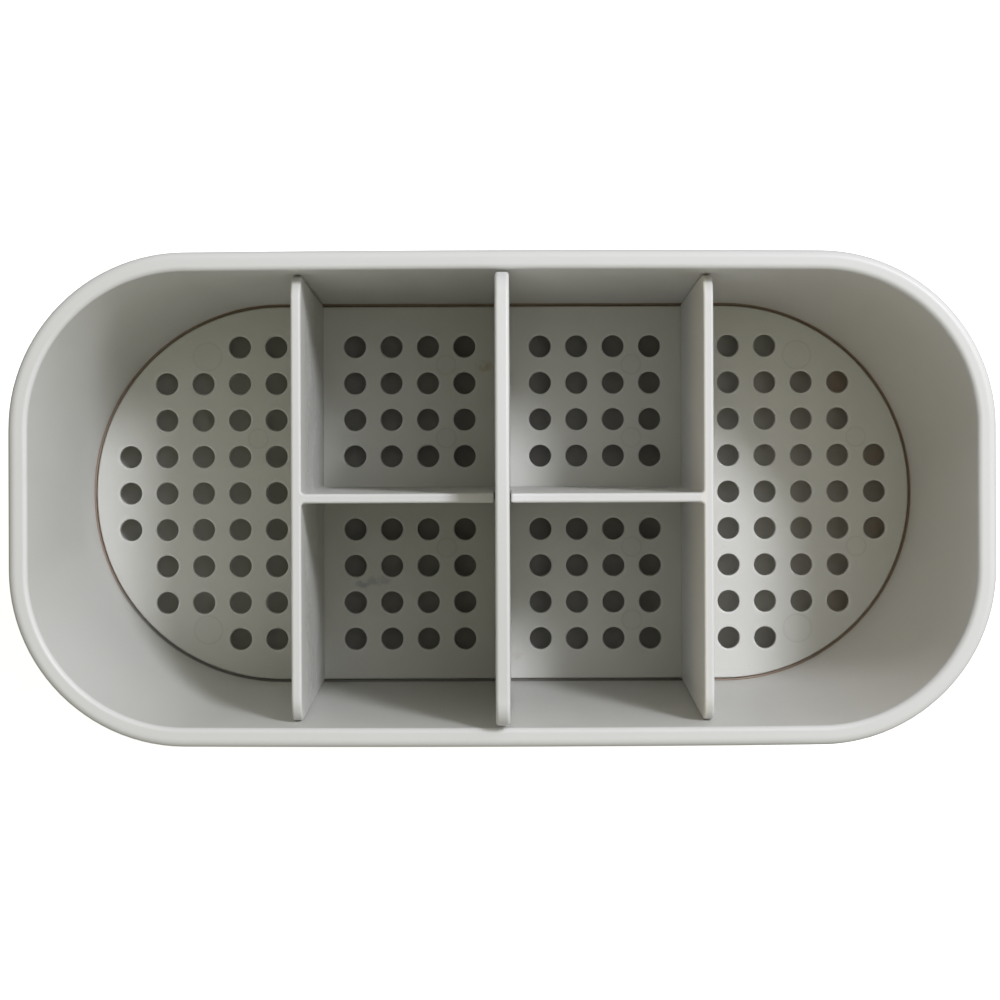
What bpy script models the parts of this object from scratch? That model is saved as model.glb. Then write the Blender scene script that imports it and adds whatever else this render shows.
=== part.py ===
"""Oblong bathroom caddy, as an assembly of its separate mouldings.

A deep open body with a thick rolled rim stands on four feet. Its ends are full rounds at the floor and open
out into wide round corners at the rim. A perforated drain tray stands on four legs a little above the floor.
An H-shaped divider frame rests on the tray, and a thicker centre divider with an arched top slots over the
middle wall of the frame. Tray, frame and centre divider lift straight out.

Metres, +Z up, +X along the caddy. The origin is the middle of the footprint, on the surface it stands on.
"""

import math

import bmesh
import bpy
from mathutils import Matrix

# Rim, seen from above
RIM_LENGTH = 0.3015
RIM_WIDTH = 0.150
RIM_CORNER_RADIUS = 0.053
RIM_LIP_WIDTH = 0.0060
RIM_LIP_DEPTH = 0.0085
RIM_OUTER_ROUND = 0.0025
RIM_INNER_ROUND = 0.0015
SIDE_BOW = 0.0009

# Body, from the side
FOOT_DROP = 0.0015
FLOOR_THICKNESS = 0.0028
WALL_THICKNESS = 0.0028
RESERVOIR_DEPTH = 0.0085
TRAY_TO_RIM = 0.101
FLOOR_INNER_ROUND = 0.004
BASE_OUTER_ROUND = 0.006

# Drain tray
TRAY_FROM_RIM_END = 0.01185
TRAY_FROM_RIM_SIDE = 0.0112
TRAY_THICKNESS = 0.0025
TRAY_END_HALF_FLAT = 0.0005
TRAY_WALL_GAP = 0.0009
TRAY_SKIRT_INSET = 0.0012
TRAY_SKIRT_WIDTH = 0.0018
TRAY_SKIRT_DEPTH = 0.0025
LEG_FROM_END = 0.03805
LEG_FROM_SIDE = 0.0170
LEG_TOP_RADIUS = 0.0048
LEG_FOOT_RADIUS = 0.0040

# Drain holes
HOLE_DIAMETER = 0.0075
HOLES_FROM_SIDE = 0.0138
END_HOLES_FROM_DIVIDER = 0.0140
HOLE_EDGE_MARGIN = 0.0080
CELL_COLUMNS = 4
ROWS_EACH_WAY = 4

# Divider frame
DIVIDER_SPACING = 0.1266
DIVIDER_HEIGHT = 0.0947
CROSS_WALL_TOP = 0.0031
LONG_WALL_TOP = 0.0029
DIVIDER_DRAFT = 0.0006
DIVIDER_FILLET = 0.0012
DIVIDER_CORNER_RADIUS = 0.008
DIVIDER_WALL_GAP = 0.0005
DIVIDER_EDGE_ROUND = 0.0007

# Centre divider
CENTRE_THICKNESS = 0.0042
CENTRE_END_RISE = 0.010
CENTRE_MIDDLE_RISE = 0.018
CENTRE_CORNER_RADIUS = 0.0086
CENTRE_WALL_GAP = 0.0011
CENTRE_EDGE_ROUND = 0.0009
SLOT_HEIGHT = 0.046
SLOT_CLEARANCE = 0.0003

# Feet
FOOT_FROM_END = 0.04085
FOOT_FROM_SIDE = 0.0278
FOOT_RADIUS = 0.0070
FOOT_ROUND = 0.0006
FOOT_POCKET_DEPTH = 0.0010

# Shared
SEAT_GAP = 0.0003
CUT_OVERRUN = 0.002
WELD_DISTANCE = 0.00001
CORNER_STEPS = 12
SIDE_STEPS = 6
ROUND_STEPS = 4
HOLE_SIDES = 12
LEG_SIDES = 20
FOOT_SIDES = 28
ARCH_STEPS = 20
FILLET_STEPS = 3
EDGE_SEGMENTS = 2
SHARP_ANGLE = math.radians(35)
EDGE_ANGLE = math.radians(45)

# Heights that follow from the sizes above
BASE = FOOT_DROP
FLOOR_TOP = BASE + FLOOR_THICKNESS
TRAY_TOP = FLOOR_TOP + RESERVOIR_DEPTH + TRAY_THICKNESS
TRAY_UNDERSIDE = TRAY_TOP - TRAY_THICKNESS
RIM_TOP = TRAY_TOP + TRAY_TO_RIM
DIVIDER_FOOT = TRAY_TOP + SEAT_GAP
DIVIDER_TOP = TRAY_TOP + DIVIDER_HEIGHT
SLOT_TOP = DIVIDER_FOOT + SLOT_HEIGHT

# The tray, what is set out from its edges, the well that it drops into and the mouth inside the rim
TRAY_LENGTH = RIM_LENGTH - 2 * TRAY_FROM_RIM_END
TRAY_WIDTH = RIM_WIDTH - 2 * TRAY_FROM_RIM_SIDE
HOLE_PITCH = (TRAY_WIDTH / 2 - HOLES_FROM_SIDE) / ROWS_EACH_WAY
LEG_ALONG = TRAY_LENGTH / 2 - LEG_FROM_END
LEG_ACROSS = TRAY_WIDTH / 2 - LEG_FROM_SIDE
FOOT_ALONG = TRAY_LENGTH / 2 - FOOT_FROM_END
FOOT_ACROSS = TRAY_WIDTH / 2 - FOOT_FROM_SIDE
WELL_HALF_LENGTH = TRAY_LENGTH / 2 + TRAY_WALL_GAP
WELL_HALF_WIDTH = TRAY_WIDTH / 2 + TRAY_WALL_GAP
MOUTH_HALF_LENGTH = RIM_LENGTH / 2 - RIM_LIP_WIDTH
MOUTH_HALF_WIDTH = RIM_WIDTH / 2 - RIM_LIP_WIDTH
MOUTH_CORNER_RADIUS = RIM_CORNER_RADIUS - RIM_LIP_WIDTH

# Colours as linear red, green and blue
SHELL_COLOUR = (0.640, 0.635, 0.610)
TRAY_COLOUR = (0.625, 0.625, 0.600)
DIVIDER_COLOUR = (0.650, 0.645, 0.620)
FOOT_COLOUR = (0.160, 0.158, 0.150)
SATIN = 0.42
MATTE_RUBBER = 0.80


def mix(first, second, share):
    """The value that lies a share of the way from the first to the second."""
    return first + (second - first) * share


def clear_scene():
    """Removes whatever the scene holds."""
    for obj in list(bpy.data.objects):
        bpy.data.objects.remove(obj, do_unlink=True)


def new_collection(name):
    """A collection linked to the scene."""
    collection = bpy.data.collections.new(name)
    bpy.context.scene.collection.children.link(collection)
    return collection


def new_material(name, colour, roughness):
    """An opaque non-metal with one colour and roughness."""
    material = bpy.data.materials.new(name)
    material.use_nodes = True
    shader = material.node_tree.nodes["Principled BSDF"]
    shader.inputs["Base Color"].default_value = (*colour, 1)
    shader.inputs["Roughness"].default_value = roughness
    shader.inputs["Metallic"].default_value = 0
    return material


def new_object(name, data, collection):
    """An object that shows the data, linked to the collection."""
    obj = bpy.data.objects.new(name, data)
    collection.objects.link(obj)
    return obj


def lift_point(name, parent, collection):
    """An empty on the vertical axis that a lift-out piece moves along."""
    empty = new_object(name, None, collection)
    empty.parent = parent
    return empty


def as_cutter(obj):
    """Keeps a helper out of renders and draws it as wire."""
    obj.hide_render = True
    obj.display_type = "WIRE"
    return obj


def shade_round(mesh):
    """Smooth shading, with edges sharper than the limit left crisp."""
    mesh.shade_smooth()
    mesh.set_sharp_from_angle(angle=SHARP_ANGLE)


def boolean(obj, operation, other):
    """Joins, cuts or trims an object with another."""
    modifier = obj.modifiers.new(other.name, "BOOLEAN")
    modifier.operation = operation
    modifier.solver = "EXACT"
    modifier.object = other


def round_edges(obj, width):
    """Rounds every edge sharper than the edge angle."""
    bevel = obj.modifiers.new("edge_round", "BEVEL")
    bevel.width = width
    bevel.segments = EDGE_SEGMENTS
    bevel.limit_method = "ANGLE"
    bevel.angle_limit = EDGE_ANGLE


def evaluated_mesh(obj):
    """A copy of the object's mesh with its modifiers applied and its loose seams welded."""
    graph = bpy.context.evaluated_depsgraph_get()
    mesh = bpy.data.meshes.new_from_object(obj.evaluated_get(graph), depsgraph=graph)
    bm = bmesh.new()
    bm.from_mesh(mesh)
    bmesh.ops.remove_doubles(bm, verts=bm.verts, dist=WELD_DISTANCE)
    bmesh.ops.recalc_face_normals(bm, faces=bm.faces)
    bm.to_mesh(mesh)
    bm.free()
    return mesh


def baked(obj, collection):
    """A plain mesh object in place of a curve or of a mesh with modifiers."""
    bpy.context.view_layer.update()
    name = obj.name
    mesh = evaluated_mesh(obj)
    place = obj.matrix_world.copy()
    bpy.data.objects.remove(obj, do_unlink=True)
    mesh.name = name
    result = new_object(name, mesh, collection)
    result.matrix_world = place
    return result


def arc(centre, radius, start, end, steps):
    """Points along a circle, from the start angle to the end angle, both included."""
    angles = [mix(start, end, step / steps) for step in range(steps + 1)]
    return [(centre[0] + radius * math.cos(a), centre[1] + radius * math.sin(a)) for a in angles]


def oblong(half_length, half_width, corner_radius, bow, side_steps):
    """A rectangle with round corners whose long sides bow out, anticlockwise from the right end.

    A straight side has one step, and a bowed one several, so that its points can follow the bow.
    """
    across = half_width - corner_radius
    along = half_length - corner_radius
    quarter = math.pi / 2
    shares = [step / side_steps for step in range(1, side_steps)]
    points = arc((along, across), corner_radius, 0, quarter, CORNER_STEPS)
    points += [(mix(along, -along, share), half_width) for share in shares]
    points += arc((-along, across), corner_radius, quarter, 2 * quarter, CORNER_STEPS)
    points += arc((-along, -across), corner_radius, 2 * quarter, 3 * quarter, CORNER_STEPS)
    points += [(mix(-along, along, share), -half_width) for share in shares]
    points += arc((along, -across), corner_radius, 3 * quarter, 4 * quarter, CORNER_STEPS)
    return [(x, y + bow_at(x, half_length, bow) * y / half_width) for x, y in points]


def bow_at(along, half_length, bow):
    """How far a long side bows out at a place along it: all of it in the middle, nothing at the ends."""
    return bow * (1 - (along / half_length) ** 2)


def wall_section(height):
    """Half length, half width, corner radius and side bow of the inner wall at a height."""
    share = (height - TRAY_TOP) / (RIM_TOP - TRAY_TOP)
    upper_share = max(share, 0)
    half_length = mix(WELL_HALF_LENGTH, MOUTH_HALF_LENGTH, share)
    half_width = mix(WELL_HALF_WIDTH, MOUTH_HALF_WIDTH, share)
    well_radius = min(half_width, WELL_HALF_WIDTH) - TRAY_END_HALF_FLAT
    return half_length, half_width, mix(well_radius, MOUTH_CORNER_RADIUS, upper_share), SIDE_BOW * upper_share


def wall_ring(height, outward):
    """The body's outline at a height, grown by a distance outward from the inner wall."""
    half_length, half_width, corner_radius, bow = wall_section(height)
    sizes = (half_length + outward, half_width + outward, corner_radius + outward)
    outline = oblong(*sizes, bow, SIDE_STEPS)
    return [(x, y, height) for x, y in outline]


def wall_half_width(along, height):
    """Half the distance between the inner walls at a place along the caddy and a height."""
    half_length, half_width, corner_radius, bow = wall_section(height)
    into_corner = max(along - (half_length - corner_radius), 0)
    drawn_in = corner_radius - math.sqrt(corner_radius**2 - into_corner**2)
    return half_width - drawn_in + bow_at(along, half_length, bow)


def loft(name, rings):
    """A closed body through rings whose points match one for one, with a face over each end ring."""
    bm = bmesh.new()
    loops = [[bm.verts.new(point) for point in ring] for ring in rings]
    for loop, following in zip(loops, loops[1:]):
        for index, vertex in enumerate(loop):
            bm.faces.new((loop[index - 1], vertex, following[index], following[index - 1]))
    bm.faces.new(loops[0])
    bm.faces.new(loops[-1])
    bmesh.ops.recalc_face_normals(bm, faces=bm.faces)
    mesh = bpy.data.meshes.new(name)
    bm.to_mesh(mesh)
    bm.free()
    return mesh


def flat_plate(name, outlines, thickness, collection):
    """A plate centred on its own X-Y plane. An outline that lies inside another is a hole."""
    curve = bpy.data.curves.new(name, "CURVE")
    curve.dimensions = "2D"
    curve.fill_mode = "BOTH"
    curve.extrude = thickness / 2
    for outline in outlines:
        spline = curve.splines.new("POLY")
        spline.points.add(len(outline) - 1)
        for point, (x, y) in zip(spline.points, outline):
            point.co = (x, y, 0, 1)
        spline.use_cyclic_u = True
    return new_object(name, curve, collection)


def stand_across(obj):
    """Turns a plate upright: its own X runs across the caddy, its Y up and its thickness along the caddy."""
    obj.rotation_euler = (math.pi / 2, 0, math.pi / 2)


def cylinder(name, lower_radius, upper_radius, low, high, sides, collection):
    """A straight or tapered post between two heights, centred on its object's Z axis."""
    bm = bmesh.new()
    bmesh.ops.create_cone(
        bm,
        cap_ends=True,
        segments=sides,
        radius1=lower_radius,
        radius2=upper_radius,
        depth=high - low,
    )
    bmesh.ops.translate(bm, verts=bm.verts, vec=(0, 0, (low + high) / 2))
    mesh = bpy.data.meshes.new(name)
    bm.to_mesh(mesh)
    bm.free()
    return new_object(name, mesh, collection)


def hole_drills(low, high, collection):
    """One cutter with a straight post at every drain hole, between two heights."""
    bm = bmesh.new()
    for x, y in hole_places():
        bmesh.ops.create_cone(
            bm,
            cap_ends=True,
            segments=HOLE_SIDES,
            radius1=HOLE_DIAMETER / 2,
            radius2=HOLE_DIAMETER / 2,
            depth=high - low,
            matrix=Matrix.Translation((x, y, (low + high) / 2)),
        )
    mesh = bpy.data.meshes.new("hole_drills")
    bm.to_mesh(mesh)
    bm.free()
    return new_object("hole_drills", mesh, collection)


def block(name, low, high, collection):
    """A box between two corners."""
    bm = bmesh.new()
    bmesh.ops.create_cube(bm, size=1)
    size = [b - a for a, b in zip(low, high)]
    bmesh.ops.scale(bm, verts=bm.verts, vec=size)
    bmesh.ops.translate(bm, verts=bm.verts, vec=[(a + b) / 2 for a, b in zip(low, high)])
    mesh = bpy.data.meshes.new(name)
    bm.to_mesh(mesh)
    bm.free()
    return new_object(name, mesh, collection)


def four_places(along, across):
    """A name and a place for each of four pieces set out alike at both ends and both sides."""
    for side, y in (("front", -across), ("rear", across)):
        for end, x in (("left", -along), ("right", along)):
            yield f"{side}_{end}", (x, y, 0)


def body_rings():
    """Rings of the body, from the middle of its floor up the inside, over the rim and down to the base."""
    quarter = math.pi / 2
    rings = []
    inner_floor = arc((0, 0), FLOOR_INNER_ROUND, -quarter, 0, ROUND_STEPS)
    rings += [wall_ring(FLOOR_TOP + FLOOR_INNER_ROUND + z, x - FLOOR_INNER_ROUND) for x, z in inner_floor]
    rings.append(wall_ring(TRAY_TOP, 0))
    inner_lip = arc((RIM_INNER_ROUND, -RIM_INNER_ROUND), RIM_INNER_ROUND, 2 * quarter, quarter, ROUND_STEPS)
    outer_centre = (RIM_LIP_WIDTH - RIM_OUTER_ROUND, -RIM_OUTER_ROUND)
    outer_lip = arc(outer_centre, RIM_OUTER_ROUND, quarter, 0, ROUND_STEPS)
    rings += [wall_ring(RIM_TOP + z, x) for x, z in inner_lip + outer_lip]
    rings.append(wall_ring(RIM_TOP - RIM_LIP_DEPTH, RIM_LIP_WIDTH))
    rings.append(wall_ring(RIM_TOP - RIM_LIP_DEPTH, WALL_THICKNESS))
    rings.append(wall_ring(TRAY_TOP, WALL_THICKNESS))
    base_centre = (WALL_THICKNESS - BASE_OUTER_ROUND, BASE_OUTER_ROUND)
    base = arc(base_centre, BASE_OUTER_ROUND, 0, -quarter, ROUND_STEPS)
    rings += [wall_ring(BASE + z, x) for x, z in base]
    return rings


def make_body(material, collection, cutters):
    """The body: one shell from floor to rim, with a round pocket in its underside for each foot."""
    mesh = loft("caddy_body", body_rings())
    shade_round(mesh)
    mesh.materials.append(material)
    body = new_object("caddy_body", mesh, collection)
    for place, at in four_places(FOOT_ALONG, FOOT_ACROSS):
        radius = FOOT_RADIUS + SEAT_GAP
        low = BASE - CUT_OVERRUN
        high = BASE + FOOT_POCKET_DEPTH
        pocket = cylinder(f"pocket_{place}", radius, radius, low, high, FOOT_SIDES, cutters)
        pocket.location = at
        boolean(body, "DIFFERENCE", as_cutter(pocket))
    return body


def foot_profile():
    """Half the outline of a foot, from the middle of its top, down its side, to the middle of its sole."""
    top = BASE + FOOT_POCKET_DEPTH - SEAT_GAP
    sole = arc((FOOT_RADIUS - FOOT_ROUND, FOOT_ROUND), FOOT_ROUND, 0, -math.pi / 2, ROUND_STEPS)
    return [(0, top), (FOOT_RADIUS, top), *sole, (0, 0)]


def make_foot(name, at, material, collection):
    """A round rubber foot, turned from its profile and pressed into its pocket."""
    bm = bmesh.new()
    points = [bm.verts.new((x, 0, z)) for x, z in foot_profile()]
    for first, second in zip(points, points[1:]):
        bm.edges.new((first, second))
    mesh = bpy.data.meshes.new(name)
    bm.to_mesh(mesh)
    bm.free()
    mesh.materials.append(material)
    foot = new_object(name, mesh, collection)
    foot.location = at
    turn = foot.modifiers.new("turn", "SCREW")
    turn.steps = FOOT_SIDES
    turn.render_steps = FOOT_SIDES
    turn.use_merge_vertices = True
    turn.merge_threshold = WELD_DISTANCE
    turn.use_smooth_shade = True
    return foot


def tray_outline(inset):
    """The tray's outline, drawn in by an inset."""
    half_length = TRAY_LENGTH / 2 - inset
    half_width = TRAY_WIDTH / 2 - inset
    return oblong(half_length, half_width, half_width - TRAY_END_HALF_FLAT, 0, 1)


def edge_distance(x, y):
    """How far a place on the tray lies inside its edge, nearest the round end or the long side."""
    half_width = TRAY_WIDTH / 2
    end_centre = TRAY_LENGTH / 2 - half_width
    return half_width - math.hypot(max(abs(x) - end_centre, 0), y)


def hole_columns():
    """Distances of the columns of holes from the middle: those of a cell, then as many as an end has room for."""
    cell_middle = DIVIDER_SPACING / 4
    half_group = HOLE_PITCH * (CELL_COLUMNS - 1) / 2
    cell = [cell_middle - half_group + HOLE_PITCH * column for column in range(CELL_COLUMNS)]
    first = DIVIDER_SPACING / 2 + END_HOLES_FROM_DIVIDER
    last = TRAY_LENGTH / 2 - HOLE_EDGE_MARGIN
    end_columns = math.floor((last - first) / HOLE_PITCH) + 1
    end = [first + HOLE_PITCH * column for column in range(end_columns)]
    return cell, end


def hole_places():
    """Where the drain holes are. The cells have none under the long wall of the divider frame."""
    rows = [HOLE_PITCH * row for row in range(-ROWS_EACH_WAY, ROWS_EACH_WAY + 1)]
    cell, end = hole_columns()
    places = [(x, y) for x in cell for y in rows if y != 0]
    places += [(x, y) for x in end for y in rows if edge_distance(x, y) > HOLE_EDGE_MARGIN]
    return [(side * x, y) for side in (-1, 1) for x, y in places]


def make_tray(material, collection, cutters):
    """The drain tray: a perforated plate with a stiffening skirt under its edge and four tapered legs."""
    plate = flat_plate("drain_tray", [tray_outline(0)], TRAY_THICKNESS, cutters)
    plate.location.z = TRAY_UNDERSIDE + TRAY_THICKNESS / 2
    tray = baked(plate, collection)
    drills = hole_drills(TRAY_UNDERSIDE - CUT_OVERRUN, TRAY_TOP + CUT_OVERRUN, cutters)
    boolean(tray, "DIFFERENCE", as_cutter(drills))
    skirt_top = TRAY_UNDERSIDE + TRAY_THICKNESS / 2
    skirt_foot = TRAY_UNDERSIDE - TRAY_SKIRT_DEPTH
    ring = [tray_outline(TRAY_SKIRT_INSET), tray_outline(TRAY_SKIRT_INSET + TRAY_SKIRT_WIDTH)]
    skirt = flat_plate("tray_skirt", ring, skirt_top - skirt_foot, cutters)
    skirt.location.z = (skirt_top + skirt_foot) / 2
    boolean(tray, "UNION", as_cutter(baked(skirt, cutters)))
    for place, at in four_places(LEG_ALONG, LEG_ACROSS):
        low = FLOOR_TOP + SEAT_GAP
        name = f"tray_leg_{place}"
        leg = cylinder(name, LEG_FOOT_RADIUS, LEG_TOP_RADIUS, low, skirt_top, LEG_SIDES, cutters)
        leg.location = at
        boolean(tray, "UNION", as_cutter(leg))
    tray.data.materials.append(material)
    return tray


def frame_plan(growth):
    """Plan of the divider frame: two cross walls and the long wall between them, with filleted joints.

    Growth is how far each face has moved out from where it is at the top of the frame.
    """
    middle = DIVIDER_SPACING / 2
    inner = middle - CROSS_WALL_TOP / 2 - growth
    outer = middle + CROSS_WALL_TOP / 2 + growth
    face = LONG_WALL_TOP / 2 + growth
    reach = MOUTH_HALF_WIDTH + CUT_OVERRUN
    quarter = math.pi / 2
    fillet = arc((inner - DIVIDER_FILLET, face + DIVIDER_FILLET), DIVIDER_FILLET, 0, -quarter, FILLET_STEPS)
    right_rear = [(outer, reach), (inner, reach), *fillet]
    left_rear = [(-x, y) for x, y in reversed(right_rear)]
    left_front = [(-x, -y) for x, y in right_rear]
    right_front = [(x, -y) for x, y in reversed(right_rear)]
    return right_rear + left_rear + left_front + right_front


def end_profile(foot, top, along, gap, corner_radius):
    """Side view of a cross wall: its ends follow the body's walls at a gap and its upper corners are round."""
    foot_half = wall_half_width(along, foot) - gap
    top_half = wall_half_width(along, top) - gap
    lean = math.atan2(top_half - foot_half, top - foot)
    side = (top_half - corner_radius * (1 + math.sin(lean)) / math.cos(lean), top - corner_radius)
    right = [(foot_half, foot), *arc(side, corner_radius, -lean, math.pi / 2, CORNER_STEPS)]
    return right + [(-y, z) for y, z in reversed(right)]


def make_frame(material, collection, cutters):
    """The divider frame: an H in plan, trimmed to the body's walls and notched for the centre divider."""
    low = [(x, y, DIVIDER_FOOT) for x, y in frame_plan(DIVIDER_DRAFT)]
    high = [(x, y, DIVIDER_TOP + CUT_OVERRUN) for x, y in frame_plan(0)]
    frame = new_object("divider_frame", loft("divider_frame", [low, high]), collection)
    low_cut = DIVIDER_FOOT - CUT_OVERRUN
    outer_face = DIVIDER_SPACING / 2 + CROSS_WALL_TOP / 2 + DIVIDER_DRAFT
    profile = end_profile(low_cut, DIVIDER_TOP, outer_face, DIVIDER_WALL_GAP, DIVIDER_CORNER_RADIUS)
    trim = flat_plate("frame_trim", [profile], DIVIDER_SPACING + DIVIDER_SPACING / 2, cutters)
    stand_across(trim)
    boolean(frame, "INTERSECT", as_cutter(baked(trim, cutters)))
    notch_half = centre_half_thickness(SLOT_TOP) + SLOT_CLEARANCE
    reach = LONG_WALL_TOP / 2 + DIVIDER_DRAFT + CUT_OVERRUN
    notch = block(
        "frame_notch",
        (-notch_half, -reach, SLOT_TOP - SEAT_GAP),
        (notch_half, reach, DIVIDER_TOP + CUT_OVERRUN),
        cutters,
    )
    boolean(frame, "DIFFERENCE", as_cutter(notch))
    round_edges(frame, DIVIDER_EDGE_ROUND)
    frame.data.materials.append(material)
    return frame


def centre_half_thickness(height):
    """Half the thickness of the centre divider at a height: its faces draw in towards the top."""
    share = (RIM_TOP + CENTRE_MIDDLE_RISE - height) / (RIM_TOP + CENTRE_MIDDLE_RISE - DIVIDER_FOOT)
    return CENTRE_THICKNESS / 2 + DIVIDER_DRAFT * share


def centre_profile():
    """Side view of the centre divider: an arched top, round upper corners and a slot up from its foot."""
    end_height = RIM_TOP + CENTRE_END_RISE
    profile = end_profile(DIVIDER_FOOT, end_height, 0, CENTRE_WALL_GAP, CENTRE_CORNER_RADIUS)
    half = len(profile) // 2
    right = profile[:half]
    crown_half = right[-1][0]
    crown_rise = CENTRE_MIDDLE_RISE - CENTRE_END_RISE
    shares = [step / ARCH_STEPS for step in range(1, ARCH_STEPS)]
    places = [mix(crown_half, -crown_half, share) for share in shares]
    crown = [(y, end_height + crown_rise * math.cos(math.pi / 2 * y / crown_half)) for y in places]
    slot_half = LONG_WALL_TOP / 2 + DIVIDER_DRAFT + SLOT_CLEARANCE
    slot = [(-slot_half, DIVIDER_FOOT), (-slot_half, SLOT_TOP), (slot_half, SLOT_TOP), (slot_half, DIVIDER_FOOT)]
    return right + crown + profile[half:] + slot


def make_centre_divider(material, collection, cutters):
    """The centre divider: a thick plate that slots down over the long wall of the divider frame."""
    plate = flat_plate("centre_divider", [centre_profile()], CENTRE_THICKNESS, cutters)
    stand_across(plate)
    centre = baked(plate, collection)
    for vertex in centre.data.vertices:
        vertex.co.z = math.copysign(centre_half_thickness(vertex.co.y), vertex.co.z)
    round_edges(centre, CENTRE_EDGE_ROUND)
    centre.data.materials.append(material)
    return centre


def main():
    """Builds the caddy's pieces and groups each with what it lifts out with."""
    clear_scene()
    caddy = new_collection("bathroom_caddy")
    cutters = new_collection("cutters")
    shell = new_material("shell_plastic", SHELL_COLOUR, SATIN)
    tray_plastic = new_material("tray_plastic", TRAY_COLOUR, SATIN)
    divider_plastic = new_material("divider_plastic", DIVIDER_COLOUR, SATIN)
    rubber = new_material("foot_rubber", FOOT_COLOUR, MATTE_RUBBER)

    stand = lift_point("stand", None, caddy)
    tray_lift = lift_point("tray_lift_point", stand, caddy)
    frame_lift = lift_point("frame_lift_point", tray_lift, caddy)
    centre_lift = lift_point("centre_lift_point", frame_lift, caddy)

    make_body(shell, caddy, cutters).parent = stand
    for place, at in four_places(FOOT_ALONG, FOOT_ACROSS):
        make_foot(f"foot_{place}", at, rubber, caddy).parent = stand
    make_tray(tray_plastic, caddy, cutters).parent = tray_lift
    make_frame(divider_plastic, caddy, cutters).parent = frame_lift
    make_centre_divider(divider_plastic, caddy, cutters).parent = centre_lift


main()
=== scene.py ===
"""Looks of an oblong bathroom caddy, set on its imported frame.

The caddy is a deep open body with a thick rolled rim. In it stand a perforated drain tray, an H-shaped divider
frame and an arched centre divider. It stands on white paper, two soft lamps light it from the back right, and it is
seen from straight above.

Metres, +Z up, +X along the caddy. The origin is the middle of the footprint.
"""

import sys
import logging
import math
from dataclasses import dataclass
from enum import Enum
from typing import Callable, Optional, Union

import bmesh
import bpy
import numpy as np
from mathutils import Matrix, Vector
from mathutils.geometry import delaunay_2d_cdt


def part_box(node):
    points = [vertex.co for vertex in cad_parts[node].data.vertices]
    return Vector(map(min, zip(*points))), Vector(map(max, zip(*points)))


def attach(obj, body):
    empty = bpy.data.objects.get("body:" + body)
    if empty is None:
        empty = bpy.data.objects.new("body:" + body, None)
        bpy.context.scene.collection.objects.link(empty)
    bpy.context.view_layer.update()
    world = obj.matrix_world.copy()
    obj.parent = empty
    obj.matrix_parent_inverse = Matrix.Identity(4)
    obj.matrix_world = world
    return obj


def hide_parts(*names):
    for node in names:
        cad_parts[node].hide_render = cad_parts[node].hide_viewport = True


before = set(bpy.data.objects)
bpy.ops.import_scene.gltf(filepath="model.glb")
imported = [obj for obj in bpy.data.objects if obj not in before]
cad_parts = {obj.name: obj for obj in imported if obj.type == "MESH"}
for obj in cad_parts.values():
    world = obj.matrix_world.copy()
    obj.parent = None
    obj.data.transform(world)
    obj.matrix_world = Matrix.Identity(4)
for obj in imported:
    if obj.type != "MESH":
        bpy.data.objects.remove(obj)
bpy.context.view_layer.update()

QUARTER = math.pi / 2
MM = 0.001
WHITE = (1.0, 1.0, 1.0)
CRISP_ANGLE = math.radians(35)
ROUNDED_ANGLE = math.radians(45)
WELDS_PER_METRE = 1e7
SAME_POINT_MM = 1e-6
MIX_INPUTS, MIX_OUTPUT = (0, 6, 7), 2
log = logging.getLogger("caddy")

Array = np.ndarray
Number = Union["Signal", float]
Colour = tuple[float, float, float]
Point = tuple[float, float, float]
Place = tuple[float, float]
Range = tuple[float, float]


class Body(Enum):
    """The groups of pieces that move together."""

    CADDY = "caddy"
    TRAY = "tray"
    FRAME = "frame"
    CENTRE = "centre"


class Slot(Enum):
    """The material slots of the record."""

    SHELL = "shell_plastic"
    TRAY = "tray_plastic"
    DIVIDER = "divider_plastic"
    FOOT = "foot_rubber"


class Cut(Enum):
    """What one solid does to another."""

    TRIM = "INTERSECT"
    REMOVE = "DIFFERENCE"


# ---------------------------------------------------------------- node maths


@dataclass(frozen=True)
class Pattern:
    """Fractal noise: features per metre, finer layers and their strength, its soft step, and its stretch."""

    per_metre: float
    layers: float = 2.0
    strength: float = 0.5
    low: float = 0.0
    high: float = 1.0
    stretch: Optional[Point] = None


@dataclass(frozen=True)
class Spot:
    """A soft oval patch of wear: its middle, its half sizes, and how strong it is."""

    x: float
    y: float
    half_x: float
    half_y: float
    strength: float


def maths(operation: str, other_first: bool = False) -> Callable[..., "Signal"]:
    """Makes a method of a signal that adds one Math node.

    Args:
        operation: What the node works out.
        other_first: Whether the other value comes before the signal.

    Returns:
        The method, which takes the other value where the operation has one.
    """

    def method(signal: "Signal", *other: Number) -> "Signal":
        """The node's result."""
        values = (*other, signal) if other_first else (signal, *other)
        return signal.board.add("ShaderNodeMath", {"operation": operation}, dict(enumerate(values)))

    return method


class Signal:
    """A node's output socket, whose arithmetic adds Math nodes, and whose most is the higher of two."""

    __add__ = __radd__ = maths("ADD")
    __sub__, __rsub__ = maths("SUBTRACT"), maths("SUBTRACT", other_first=True)
    __mul__ = __rmul__ = maths("MULTIPLY")
    __truediv__, __rtruediv__ = maths("DIVIDE"), maths("DIVIDE", other_first=True)
    __abs__, __pow__, most = maths("ABSOLUTE"), maths("POWER"), maths("MAXIMUM")

    def __init__(self, board: "Board", socket: bpy.types.NodeSocket) -> None:
        """Keeps the board that the socket's node is on."""
        self.board = board
        self.socket = socket

    def ramp(self, low: float, high: float) -> "Signal":
        """A smooth step that is 0 below low and 1 above high."""
        settings = {"interpolation_type": "SMOOTHSTEP"}
        return self.board.add("ShaderNodeMapRange", settings, {"Value": self, "From Min": low, "From Max": high})


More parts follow.
